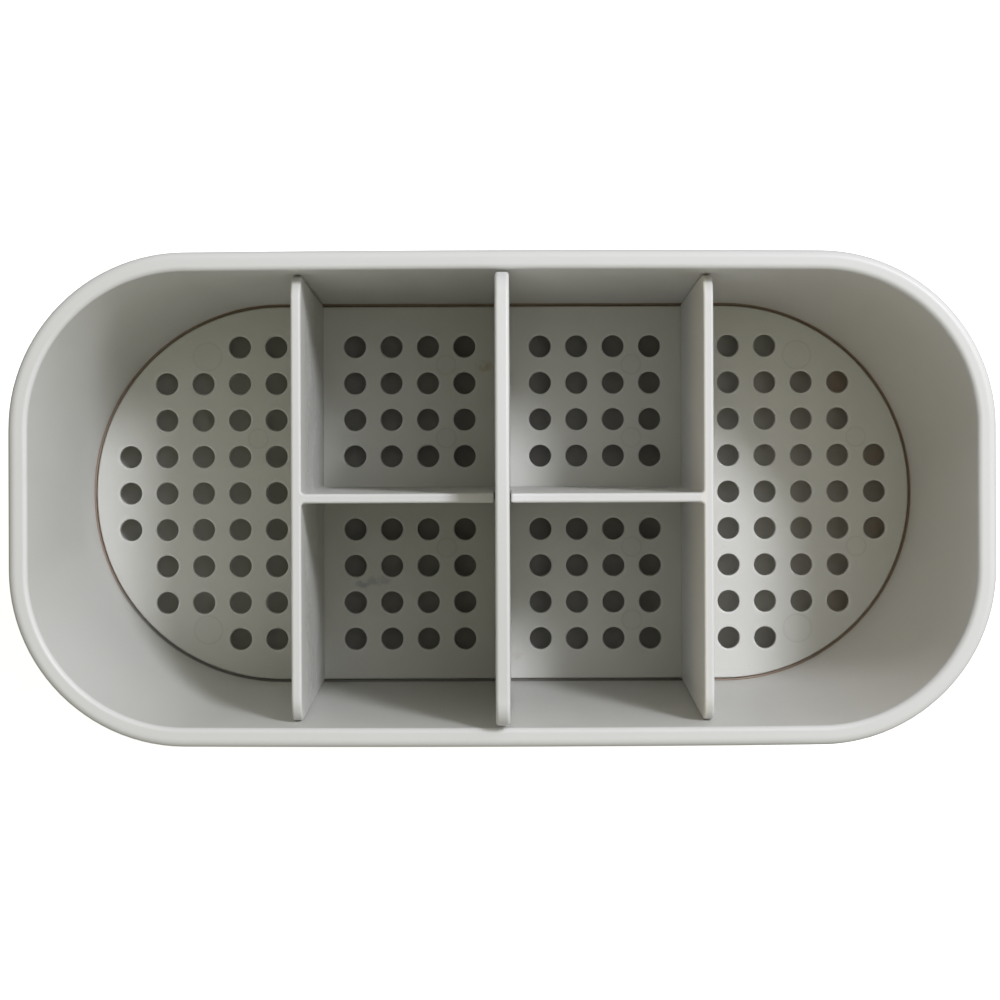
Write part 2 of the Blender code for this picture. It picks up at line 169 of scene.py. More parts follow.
class Board:
    """A node tree, with the coordinates that every pattern on it reads."""

    def __init__(self, owner: Union[bpy.types.Material, bpy.types.World], shader: str, place: str) -> None:
        """Takes the nodes of a material or a world.

        Args:
            owner: What the nodes belong to.
            shader: The node that the patterns feed.
            place: Which coordinates they read.
        """
        owner.use_nodes = True
        self.owner = owner
        self.tree = owner.node_tree
        self.shader = self.tree.nodes[shader]
        self.place = self.add("ShaderNodeTexCoord", {}, {}, place)
        parts = self.tree.nodes.new("ShaderNodeSeparateXYZ")
        self.tree.links.new(self.place.socket, parts.inputs[0])
        self.x, self.y, self.z = (Signal(self, parts.outputs[axis]) for axis in range(3))

    def feed(self, socket: bpy.types.NodeSocket, value: Union[Signal, float, tuple]) -> None:
        """Links a signal to a socket, or sets the socket's own value.

        Args:
            socket: The input socket.
            value: A signal, a number or a tuple.
        """
        if isinstance(value, Signal):
            self.tree.links.new(value.socket, socket)
        else:
            socket.default_value = value

    def add(self, kind: str, settings: dict, values: dict, output: Union[int, str] = 0) -> Signal:
        """Adds one node.

        Args:
            kind: The node's type.
            settings: Its own properties, set first.
            values: The values or signals of its sockets, by name or number.
            output: The output socket, by name or number.

        Returns:
            The signal of that output.
        """
        node = self.tree.nodes.new(kind)
        for key, value in settings.items():
            setattr(node, key, value)
        for key, value in values.items():
            self.feed(node.inputs[key], value)
        return Signal(self, node.outputs[output])

    def noise(self, pattern: Pattern) -> Signal:
        """A pattern's noise before its soft step.

        Args:
            pattern: The pattern.

        Returns:
            The noise, from 0 to 1.
        """
        place = self.place
        if pattern.stretch:
            place = self.add("ShaderNodeMapping", {}, {"Vector": place, "Scale": pattern.stretch})
        values = {"Vector": place, "Scale": pattern.per_metre, "Detail": pattern.layers}
        return self.add("ShaderNodeTexNoise", {"noise_dimensions": "3D"}, {**values, "Roughness": pattern.strength})

    def patches(self, pattern: Pattern) -> Signal:
        """A pattern's noise after its soft step."""
        return self.noise(pattern).ramp(pattern.low, pattern.high)

    def attribute(self, name: str) -> Signal:
        """A number painted on the mesh's points."""
        return self.add("ShaderNodeAttribute", {"attribute_name": name}, {}, "Fac")

    def tint(self, first: Union[Signal, Colour], second: Union[Signal, Colour], share: Number) -> Signal:
        """A colour between two others.

        Args:
            first: The colour where the share is 0.
            second: The colour where the share is 1.
            share: How far it lies from the first to the second.

        Returns:
            The colour.
        """
        first, second = ((*colour, 1.0) if isinstance(colour, tuple) else colour for colour in (first, second))
        values = dict(zip(MIX_INPUTS, (share, first, second)))
        return self.add("ShaderNodeMix", {"data_type": "RGBA"}, values, MIX_OUTPUT)

    def ring(self, centre: Place, radius: float, width: float, core: float = 0.25) -> tuple[Signal, Signal]:
        """A round mark on a level face.

        Args:
            centre: Its middle.
            radius: Its radius.
            width: Half the width of its outline.
            core: Share of that up to which the outline is full.

        Returns:
            Its outline and its disc, each from 0 to 1.
        """
        away = ((self.x - centre[0]) ** 2 + (self.y - centre[1]) ** 2) ** 0.5
        outline = 1 - abs(away - radius).ramp(width * core, width)
        return outline, 1 - away.ramp(radius - width, radius)

    def blot(self, spot: Spot, core: float = 0.1, edge: float = 1.6) -> Signal:
        """A spot, upright through the object, that fades between two squared shares of its half sizes."""
        away = ((self.x - spot.x) / spot.half_x) ** 2 + ((self.y - spot.y) / spot.half_y) ** 2
        return (1 - away.ramp(core, edge)) * spot.strength

    def across_at(self, x: float, reach: float, core: float = 0.6) -> Signal:
        """1 on an upright face across the caddy at x, and 0 further from it than a reach."""
        return 1 - abs(self.x - x).ramp(reach * core, reach)


class Coat(Board):
    """A material's board, with the colour, the roughness and the relief that are laid on it so far."""

    def __init__(self, name: str, colour: Colour, roughness: float) -> None:
        """Starts a material, whose patterns read the object's own coordinates.

        Args:
            name: Its name.
            colour: The colour under all layers.
            roughness: The roughness under all layers.
        """
        super().__init__(bpy.data.materials.new(name), "Principled BSDF", "Object")
        self.colour: Union[Signal, Colour] = colour
        self.roughness: Number = roughness
        self.relief: Number = 0.0

    def lay(self, colour: Union[Signal, Colour], share: Number) -> None:
        """Lays a colour over what is there, by a share."""
        self.colour = self.tint(self.colour, colour, share)

    def finish(self, depth: float) -> bpy.types.Material:
        """Feeds the shader.

        Args:
            depth: How many metres high relief 1 stands.

        Returns:
            The material.
        """
        bump = self.add("ShaderNodeBump", {}, {"Strength": 1.0, "Distance": depth, "Height": self.relief})
        for socket, value in (("Base Color", self.colour), ("Roughness", self.roughness), ("Normal", bump)):
            self.feed(self.shader.inputs[socket], value)
        return self.owner


# ------------------------------------------------------------------ finishes


@dataclass(frozen=True)
class MouldedPlastic:
    """Satin moulded plastic: a fine spark grain, a faint cloudiness, small flecks and hairline scuffs."""

    name: str
    colour: Colour
    roughness: float = 0.44
    grain: Pattern = Pattern(1500, 2, 0.6)
    grain_depth: float = 0.000012
    shade: Colour = (0.560, 0.545, 0.500)
    cloud: Pattern = Pattern(28, 4, 0.55, 0.38, 0.80)
    cloud_tint: float = 0.10
    cloud_roughness: float = 0.06
    fleck: Pattern = Pattern(750, 1, 0.5, 0.66, 0.80)
    fleck_tint: float = 0.05
    scuffed: Colour = (0.700, 0.700, 0.680)
    scuff_along: Pattern = Pattern(420, stretch=(0.12, 1.0, 1.0))
    scuff_up: Pattern = Pattern(420, stretch=(1.0, 0.15, 0.6))
    scuff_step: Range = (0.70, 0.78)
    scuff_tint: float = 0.10
    scuff_polish: float = 0.08
    scuff_depth: float = 0.4
    deposit: Colour = (0.310, 0.205, 0.135)
    deposit_tint: float = 0.85
    # The grey of the soil along the front: grime and painted shade.
    grime_and_shade: Colour = (0.165, 0.160, 0.145)
    grime_and_shade_across: Range = (-0.050, -0.020)
    grime_and_shade_along: Range = (0.050, 0.090)

    def start(self) -> Coat:
        """The layers that all the plastics share.

        Returns:
            The coat so far.
        """
        coat = Coat(self.name, self.colour, self.roughness)
        cloud = coat.noise(self.cloud)
        scuff = coat.noise(self.scuff_along).most(coat.noise(self.scuff_up)).ramp(*self.scuff_step)
        shaded = cloud.ramp(self.cloud.low, self.cloud.high) * self.cloud_tint
        coat.lay(self.shade, shaded + coat.patches(self.fleck) * self.fleck_tint)
        coat.lay(self.scuffed, scuff * self.scuff_tint)
        coat.roughness = self.roughness + cloud * self.cloud_roughness - scuff * self.scuff_polish
        coat.relief = coat.noise(self.grain) - scuff * self.scuff_depth
        return coat

    def soil(self, coat: Coat) -> None:
        """Lays what dries in the gaps where soil is painted: brown, but along the front a darker grey that is part
        grime and part painted shade.
        """
        # Along the front, short of the right end, the soil is darker grey: part grime, part painted shade.
        front = (1 - coat.y.ramp(*self.grime_and_shade_across)) * (1 - coat.x.ramp(*self.grime_and_shade_along))
        coat.lay(coat.tint(self.deposit, self.grime_and_shade, front), coat.attribute("soil") * self.deposit_tint)


@dataclass(frozen=True)
class ShellPlastic(MouldedPlastic):
    """The body's plastic, soiled where water stands, with painted shade on the floor under the cells, and rubbed
    smooth along the top of the rim, which carries a painted highlight.
    """

    film: Colour = (0.520, 0.505, 0.455)
    film_patch: Pattern = Pattern(60, 4, 0.6, 0.30, 0.75)
    film_heights: Range = (0.012, 0.034)
    film_tint: float = 0.35
    film_roughness: float = 0.12
    flow: Pattern = Pattern(55, 3, 0.5, 0.45, 0.80, (1.0, 1.0, 0.18))
    flow_tint: float = 0.14
    # A warmer colour laid inside, below the rim, growing towards the right end.
    right_end_warmth: Colour = (0.700, 0.610, 0.520)
    right_end_heights: Range = (0.11205, 0.11580)
    right_end_along: Range = (0.070, 0.130)
    right_end_warmth_tint: float = 0.28
    floor_heights: Range = (0.0046, 0.0063)
    # The darker, bluish colour of the floor under the cells: painted shade.
    cell_floor_shade: Colour = (0.215, 0.205, 0.235)
    cell_floor_shade_along: Range = (0.0528, 0.0792)
    cell_floor_shade_cloud: Pattern = Pattern(150, 3, 0.6)
    cell_floor_shade_least: float = 0.35
    cell_floor_shade_spread: float = 0.30
    rust: Colour = (0.760, 0.590, 0.500)
    rust_spots: tuple[Spot, ...] = (Spot(0.1175, 0.0375, 0.0050, 0.0050, 0.80),
                                    Spot(0.1300, 0.0125, 0.0050, 0.0045, 0.55),
                                    Spot(0.1300, -0.0125, 0.0050, 0.0045, 0.50),
                                    Spot(0.1160, -0.0375, 0.0060, 0.0050, 0.40))
    # The lighter, bluer colour laid on the rim's top: a painted highlight.
    rubbed_and_rim_light: Colour = (0.740, 0.736, 0.770)
    rim_light_heights: Range = (0.114175, 0.1163)
    rim_light_tint: float = 0.30
    rubbed_polish: float = 0.05

    def material(self) -> bpy.types.Material:
        """The layers from the walls down to the floor, with painted shade under the cells, and last the painted
        highlight and the smoother finish on the top of the rim.

        Returns:
            The finished material.
        """
        coat = self.start()
        inside = coat.attribute("inside")
        film = inside * (1 - coat.z.ramp(*self.film_heights)) * coat.patches(self.film_patch)
        flow = inside * coat.patches(self.flow)
        coat.lay(self.film, film * self.film_tint + flow * self.flow_tint)
        # Inside, below the rim, the colour grows warmer towards the right end.
        right_end_warmth = inside * (1 - coat.z.ramp(*self.right_end_heights)) * coat.x.ramp(*self.right_end_along)
        coat.lay(self.right_end_warmth, right_end_warmth * self.right_end_warmth_tint)
        on_floor = inside * (1 - coat.z.ramp(*self.floor_heights))
        # Painted shade: the floor under the cells, seen through their holes, made darker in blotches.
        cell_floor_shade = self.cell_floor_shade_least + coat.noise(self.cell_floor_shade_cloud) * self.cell_floor_shade_spread
        coat.lay(self.cell_floor_shade, on_floor * (1 - abs(coat.x).ramp(*self.cell_floor_shade_along)) * cell_floor_shade)
        for spot in self.rust_spots:
            coat.lay(self.rust, coat.blot(spot) * on_floor)
        self.soil(coat)
        # The rim's top: a painted highlight in its colour, and a smoother finish where it is rubbed.
        rim_top_mask = coat.z.ramp(*self.rim_light_heights)
        coat.lay(self.rubbed_and_rim_light, rim_top_mask * self.rim_light_tint)
        coat.roughness = coat.roughness - rim_top_mask * self.rubbed_polish + film * self.film_roughness
        return coat.finish(self.grain_depth)


@dataclass(frozen=True)
class TrayPlastic(MouldedPlastic):
    """The tray's plastic, with round marks of the legs and ejector pins, and a few smudges."""

    deposit: Colour = (0.280, 0.210, 0.155)
    deposit_tint: float = 0.70
    leg_marks: tuple[Place, ...] = ()
    leg_radius: float = 0.0
    leg_line: float = 0.00045
    pin_marks: tuple[Place, ...] = ()
    pin_radius: float = 0.0033
    pin_line: float = 0.00040
    mark: Colour = (0.530, 0.525, 0.490)
    line_tint: float = 0.42
    line_depth: float = 1.4
    disc_tint: float = 0.05
    disc_roughness: float = 0.05
    # The lighter colour round the mouths of the holes: a painted highlight.
    hole_halo: Colour = (0.780, 0.780, 0.760)
    hole_halo_tint: float = 0.35
    blot_cloud: Pattern = Pattern(420, 3, 0.55, 0.30, 0.62)
    smudge: Colour = (0.300, 0.325, 0.360)
    smudges: tuple[Spot, ...] = (Spot(-0.0480, -0.0312, 0.0026, 0.0014, 0.60),
                                 Spot(-0.0425, -0.0300, 0.0042, 0.0018, 0.45),
                                 Spot(0.0300, -0.0180, 0.0050, 0.0030, 0.12))
    stain: Colour = (0.420, 0.330, 0.190)
    stains: tuple[Spot, ...] = (Spot(-0.0063, 0.0433, 0.0028, 0.0020, 0.60),
                                Spot(0.0050, -0.0560, 0.0020, 0.0015, 0.20))
    speck: Pattern = Pattern(1300, 1, 0.4, 0.745, 0.775)
    speck_patch: Pattern = Pattern(90, 2, 0.5, 0.50, 0.62)
    speck_tint: float = 0.35

    def material(self) -> bpy.types.Material:
        """The moulding's marks, a painted highlight round the mouths of the holes, the smudges and the soil.

        Returns:
            The finished material.
        """
        coat = self.start()
        marks = [coat.ring(place, self.leg_radius, self.leg_line) for place in self.leg_marks]
        marks += [coat.ring(place, self.pin_radius, self.pin_line) for place in self.pin_marks]
        line, disc = marks[0]
        for other_line, other_disc in marks[1:]:
            line, disc = line.most(other_line), disc.most(other_disc)
        top = coat.attribute("top")
        line, disc = line * top, disc * top
        coat.lay(self.mark, line * self.line_tint + disc * self.disc_tint)
        # A painted highlight: a lighter ring round the mouth of each hole.
        coat.lay(self.hole_halo, coat.attribute("mouth") * self.hole_halo_tint)
        cloud = coat.patches(self.blot_cloud) * top
        for soiling, spots in ((self.smudge, self.smudges), (self.stain, self.stains)):
            for spot in spots:
                coat.lay(soiling, coat.blot(spot) * cloud)
        specks = coat.patches(self.speck) * coat.patches(self.speck_patch) * top
        coat.lay(self.smudge, specks * self.speck_tint)
        self.soil(coat)
        coat.roughness = coat.roughness + disc * self.disc_roughness
        coat.relief = coat.relief - line * self.line_depth
        return coat.finish(self.grain_depth)


@dataclass(frozen=True)
class DividerPlastic(MouldedPlastic):
    """The dividers' plastic. What is kept in the cells has rubbed a face of the left cross wall, and painted shade
    darkens that face all over. A face of the right cross wall has painted warm light, and the tops a painted
    highlight.
    """

    # The dark colour of the rub marks, which is also laid evenly over that face as painted shade.
    rub_and_shade: Colour = (0.400, 0.395, 0.370)
    haze: Colour = (0.800, 0.800, 0.790)
    # The warm colour laid on the right cross wall's left face: painted light.
    warm_face_light: Colour = (0.900, 0.820, 0.670)
    # The lighter colour laid on the tops: a painted highlight.
    painted_highlight: Colour = (0.740, 0.736, 0.775)
    face: float = 0.0619
    face_reach: float = 0.0012
    rub_and_shade_heights: tuple[Range, Range] = ((0.025, 0.045), (0.090, 0.106))
    rub_patch: Pattern = Pattern(45, 3, 0.6, 0.42, 0.60)
    rub_speck: Pattern = Pattern(900, 3, 0.75, 0.48, 0.66, (1.0, 0.5, 1.0))
    rub_tint: float = 0.60
    painted_face_shade: float = 0.16
    rub_roughness: float = 0.15
    rub_depth: float = 0.8
    haze_patch: Pattern = Pattern(70, 3, 0.6, 0.45, 0.65)
    haze_streak: Pattern = Pattern(500, 3, 0.7, stretch=(1.0, 1.0, 0.2))
    haze_step: Range = (0.25, 0.65)
    haze_tint: float = 0.40
    warm_face_light_heights: Range = (0.045, 0.080)
    warm_face_light_tint: float = 0.35
    highlight_heights: Range = (0.1088, 0.1100)
    highlight_tint: float = 0.30

    def material(self) -> bpy.types.Material:
        """The rubbed face with its painted shade, the face with painted warm light, and last the painted highlight
        on the tops.

        Returns:
            The finished material.
        """
        coat = self.start()
        rising, falling = self.rub_and_shade_heights
        rubbed_and_shaded_face = coat.across_at(-self.face, self.face_reach) * coat.z.ramp(*rising) * (1 - coat.z.ramp(*falling))
        rubbed_and_rim_light = rubbed_and_shaded_face * coat.patches(self.rub_patch) * coat.patches(self.rub_speck)
        # Rub marks in specks and patches, and painted shade evenly over the whole face.
        coat.lay(self.rub_and_shade, rubbed_and_rim_light * self.rub_tint + rubbed_and_shaded_face * self.painted_face_shade)
        hazed = (coat.patches(self.haze_patch) * coat.noise(self.haze_streak)).ramp(*self.haze_step)
        coat.lay(self.haze, rubbed_and_shaded_face * hazed * self.haze_tint)
        # Painted warm light on the upper part of the right cross wall's left face.
        warm_face_light = coat.across_at(self.face, self.face_reach) * coat.z.ramp(*self.warm_face_light_heights)
        coat.lay(self.warm_face_light, warm_face_light * self.warm_face_light_tint)
        # A painted highlight: the tops of the frame, and the centre divider above them, made lighter.
        coat.lay(self.painted_highlight, coat.z.ramp(*self.highlight_heights) * self.highlight_tint)
        coat.roughness = coat.roughness + rubbed_and_rim_light * self.rub_roughness
        coat.relief = coat.relief - rubbed_and_rim_light * self.rub_depth
        return coat.finish(self.grain_depth)


@dataclass(frozen=True)
class FootRubber:
    """Matte grey rubber with dust in its fine texture."""

    name: str
    colour: Colour
    dust: Colour
    roughness: float = 0.82
    texture: Pattern = Pattern(2200, 3, 0.6)
    texture_tint: float = 0.10
    texture_depth: float = 0.00003
    dusty: Pattern = Pattern(160, 4, 0.6, 0.50, 0.80)
    dust_tint: float = 0.35
    dust_roughness: float = 0.08

    def material(self) -> bpy.types.Material:
        """The rubber's texture and its dust.

        Returns:
            The finished material.
        """
        coat = Coat(self.name, self.colour, self.roughness)
        coat.relief = coat.noise(self.texture)
        dusty = coat.patches(self.dusty)
        coat.lay(self.dust, dusty * self.dust_tint + coat.relief * self.texture_tint)
        coat.roughness = self.roughness + dusty * self.dust_roughness
        return coat.finish(self.texture_depth)


@dataclass(frozen=True)
class StudioPaper:
    """White paper that glows a little, as a lit sweep does, but less close round the caddy's foot: a painted
    contact shadow.
    """

    name: str
    colour: Colour
    glow: float
    roughness: float = 0.9
    fibre: Pattern = Pattern(350, 3, 0.6)
    fibre_colour: Colour = (0.88, 0.88, 0.88)
    fibre_tint: float = 0.3
    fibre_depth: float = 0.00002
    foot_straight: float = 0.0750
    foot_radius: float = 0.0650
    shade: Colour = (0.30, 0.30, 0.29)
    shade_reach: float = 0.030
    shade_power: float = 1.5

    def material(self) -> bpy.types.Material:
        """The paper, its glow, and the painted contact shadow where the glow dims round the foot.

        The distance to the caddy's foot is that to a line along its middle less a radius, so it is even along
        the foot's straight sides and round its ends.

        Returns:
            The finished material.
        """
        coat = Coat(self.name, self.colour, self.roughness)
        past_straight = (abs(coat.x) - self.foot_straight).most(0.0)
        away = (past_straight**2 + coat.y**2) ** 0.5 - self.foot_radius
        open_air = away.ramp(-self.shade_reach, self.shade_reach) ** self.shade_power
        # Painted contact shadow: the glow falls to the shade colour close round the caddy's foot.
        coat.feed(coat.shader.inputs["Emission Color"], coat.tint(self.shade, WHITE, open_air))
        coat.feed(coat.shader.inputs["Emission Strength"], self.glow)
        coat.relief = coat.noise(self.fibre)
        coat.lay(self.fibre_colour, coat.relief * self.fibre_tint)
        return coat.finish(self.fibre_depth)


# ---------------------------------------------------------------- mesh tools


def arc(centre: Place, radius: float, start: float, end: float, steps: int) -> Array:
    """Points at even angles from start to end: the centre plus the radius times each one's cosine and sine."""
    angles = np.linspace(start, end, steps + 1)
    return np.stack([centre[0] + radius * np.cos(angles), centre[1] + radius * np.sin(angles)], axis=1)


def spun(profile: Array, centre: Place, sides: int) -> Array:
    """Rings that a profile makes when it is turned round an upright axis.

    A point is the axis plus the profile's radius times the cosine and sine of an angle, at the profile's height.

    Args:
        profile: Rows of radius and height.
        centre: Where the axis stands.
        sides: Number of points round it.

    Returns:
        Points as rows by columns by three.
    """
    angles = np.linspace(0, 4 * QUARTER, sides, endpoint=False)
    plan = np.asarray(centre) + profile[:, None, :1] * np.stack([np.cos(angles), np.sin(angles)], axis=1)
    return np.concatenate([plan, np.broadcast_to(profile[:, None, 1:], (*plan.shape[:2], 1))], axis=-1)


def at_height(outline: Array, height: Union[float, Array]) -> Array:
    """The points of a plan outline lifted to a height."""
    return np.column_stack([outline, np.broadcast_to(height, len(outline))])


class Surface:
    """Patches of one closed surface, welded into a mesh, with numbers painted on its points."""

    def __init__(self, *paints: str) -> None:
        """Starts with no patches.

        Args:
            paints: Names of the numbers that are painted on the points.
        """
        self.paints = paints
        self.points: list[Array] = []
        self.painted: list[Array] = []
        self.faces: list[Array] = []
        self.count = 0

    def _keep(self, points: Array, faces: Array, values: dict[str, Union[float, Array]]) -> None:
        """Stores a patch.

        Args:
            points: Its points, as rows of three.
            faces: Rows of four or three numbers of points.
            values: The painted number of each point, or one for all of them, by name.
        """
        self.points.append(points)
        rows = [np.broadcast_to(values.get(paint, 0.0), len(points)) for paint in self.paints]
        self.painted.append(np.stack(rows, axis=1) if rows else np.zeros((len(points), 0)))
        self.faces.append(faces + self.count)
        self.count += len(points)

    def grid(self, rows: Array, **values: Union[float, tuple[float, ...], Array]) -> None:
        """Adds a band that closes on itself.

        Face i, j joins points j and j + 1 of row i to the same points of row i + 1.

        Args:
            rows: Points as an array of rows by columns by three.
            values: Painted numbers, one for each row or one for all.
        """
        count, around = rows.shape[:2]
        low = np.arange((count - 1) * around).reshape(count - 1, around)
        after = np.roll(low, -1, axis=1)
        faces = np.stack([low, after, after + around, low + around], axis=-1).reshape(-1, 4)
        by_row = {paint: np.broadcast_to(value, count) for paint, value in values.items()}
        self._keep(rows.reshape(-1, 3), faces, {paint: np.repeat(value, around) for paint, value in by_row.items()})

    def cap(self, loops: list[Array], height: float, **values: float) -> None:
        """Adds a level face between an outline and the loops inside it.

        The face is the Delaunay triangulation that keeps every side of every loop.

        Args:
            loops: The outline, then the outlines of its holes.
            height: The face's height.
            values: Painted numbers.
        """
        plan = np.concatenate(loops)
        starts = np.cumsum([0] + [len(loop) for loop in loops])
        rings = [list(range(a, b)) for a, b in zip(starts, starts[1:])]
        sides = [(a, b) for ring in rings for a, b in zip(ring, ring[1:] + ring[:1])]
        flat = [Vector(point) for point in (plan / MM).tolist()]
        places, _, faces, _, _, kept_in = delaunay_2d_cdt(flat, sides, rings, 0, SAME_POINT_MM)
        solid = [face for face, owners in zip(faces, kept_in) if list(owners) == [0]]
        points = at_height(np.array([tuple(place) for place in places]) * MM, height)
        self._keep(points, np.array(solid), values)

    def mesh(self, name: str) -> bpy.types.Mesh:
        """Welds the patches.

        Points that round to the same tenth of a micrometre become one, faces that lose a corner become
        triangles, and the faces are then turned outwards.

        Args:
            name: The mesh's name.

        Returns:
            The closed mesh, shaded smooth with crisp corners.
        """
        points = np.concatenate(self.points)
        rounded_off = np.round(points * WELDS_PER_METRE)
        _, first, index = np.unique(rounded_off, axis=0, return_index=True, return_inverse=True)
        index = index.reshape(-1)
        polygons: list[list[int]] = []
        for faces in self.faces:
            corners = index[faces]
            same = corners == np.roll(corners, -1, axis=1)
            polygons += corners[~same.any(axis=1)].tolist()
            for face, repeats in zip(corners[same.any(axis=1)], same[same.any(axis=1)]):
                if repeats.sum() == 1 and len(face) == 4:
                    polygons.append(face[~repeats].tolist())
        mesh = bpy.data.meshes.new(name)
        mesh.from_pydata(points[first].tolist(), [], polygons)
        painted = np.concatenate(self.painted)[first]
        for column, paint in enumerate(self.paints):
            layer = mesh.attributes.new(paint, "FLOAT", "POINT")
            layer.data.foreach_set("value", painted[:, column].astype(np.float32))
        outwards(mesh)
        return mesh


def outwards(mesh: bpy.types.Mesh) -> None:
    """Turns a closed mesh's faces outwards and shades it smooth, with corners over 35 degrees kept crisp.

    Args:
        mesh: What is changed.
    """
    work = bmesh.new()
    work.from_mesh(mesh)
    bmesh.ops.recalc_face_normals(work, faces=work.faces)
    work.to_mesh(mesh)
    work.free()
    mesh.shade_smooth()
    mesh.set_sharp_from_angle(angle=CRISP_ANGLE)


def shown(name: str, mesh: bpy.types.Mesh) -> bpy.types.Object:
    """Puts a mesh in the scene.

    Args:
        name: The object's name.
        mesh: Its mesh.

    Returns:
        The object that shows it.
    """
    piece = bpy.data.objects.new(name, mesh)
    bpy.context.scene.collection.objects.link(piece)
    return piece


def prism(name: str, lower: Array, upper: Array) -> bpy.types.Object:
    """A solid between two outlines whose points match, with a flat face over each.

    Args:
        name: The object's name.
        lower: Points of the first outline, as rows of three.
        upper: Points of the second.

    Returns:
        The solid's object.
    """
    count = len(lower)
    first = np.arange(count)
    after = np.roll(first, -1)
    sides = np.stack([first, after, after + count, first + count], axis=1).tolist()
    ends = [first[::-1].tolist(), (first + count).tolist()]
    mesh = bpy.data.meshes.new(name)
    mesh.from_pydata(np.concatenate([lower, upper]).tolist(), [], sides + ends)
    outwards(mesh)
    return shown(name, mesh)


def settle(piece: bpy.types.Object) -> None:
    """Puts the result of a piece's modifiers in its mesh.

    Args:
        piece: What is changed.
    """
    graph = bpy.context.evaluated_depsgraph_get()
    graph.update()
    mesh = bpy.data.meshes.new_from_object(piece.evaluated_get(graph), depsgraph=graph)
    piece.modifiers.clear()
    old, piece.data = piece.data, mesh
    bpy.data.meshes.remove(old)


def combined(piece: bpy.types.Object, cut: Cut, other: bpy.types.Object) -> None:
    """Trims a piece with another solid or cuts that from it, which uses the other up.

    Args:
        piece: What is changed.
        cut: Whether the other trims it or is removed from it.
        other: The trimming or cutting solid.
    """
    modifier = piece.modifiers.new(cut.value, "BOOLEAN")
    modifier.operation = cut.value
    modifier.solver = "EXACT"
    modifier.object = other
    settle(piece)
    bpy.data.objects.remove(other, do_unlink=True)


def rounded(piece: bpy.types.Object, width: float, segments: int) -> None:
    """Rounds every edge of a piece over 45 degrees.

    Args:
        piece: What is changed.
        width: The rounding's reach on each side of an edge.
        segments: Number of facets across it.
    """
    bevel = piece.modifiers.new("edge_round", "BEVEL")
    bevel.width = width
    bevel.segments = segments
    bevel.limit_method = "ANGLE"
    bevel.angle_limit = ROUNDED_ANGLE
    bevel.use_clamp_overlap = False
    bevel.harden_normals = True
    settle(piece)


def fit(piece: bpy.types.Object, node: str, body: Body, material: bpy.types.Material) -> None:
    """Puts a piece in the place of a node of the frame and reports it.

    Args:
        piece: The finished piece.
        node: The node that it stands for.
        body: What it moves with.
        material: Its finish.
    """
    piece.data.materials.clear()
    piece.data.materials.append(material)
    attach(piece, body.value)
    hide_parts(node)
    low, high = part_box(node)
    corners = np.array([vertex.co for vertex in piece.data.vertices])
    off = max(abs(corners.min(0) - low).max(), abs(corners.max(0) - high).max())
    log.info("%s: %d faces, at most %.2f mm off its node's box", piece.name, len(piece.data.polygons), off / MM)


# -------------------------------------------------------------- the envelope


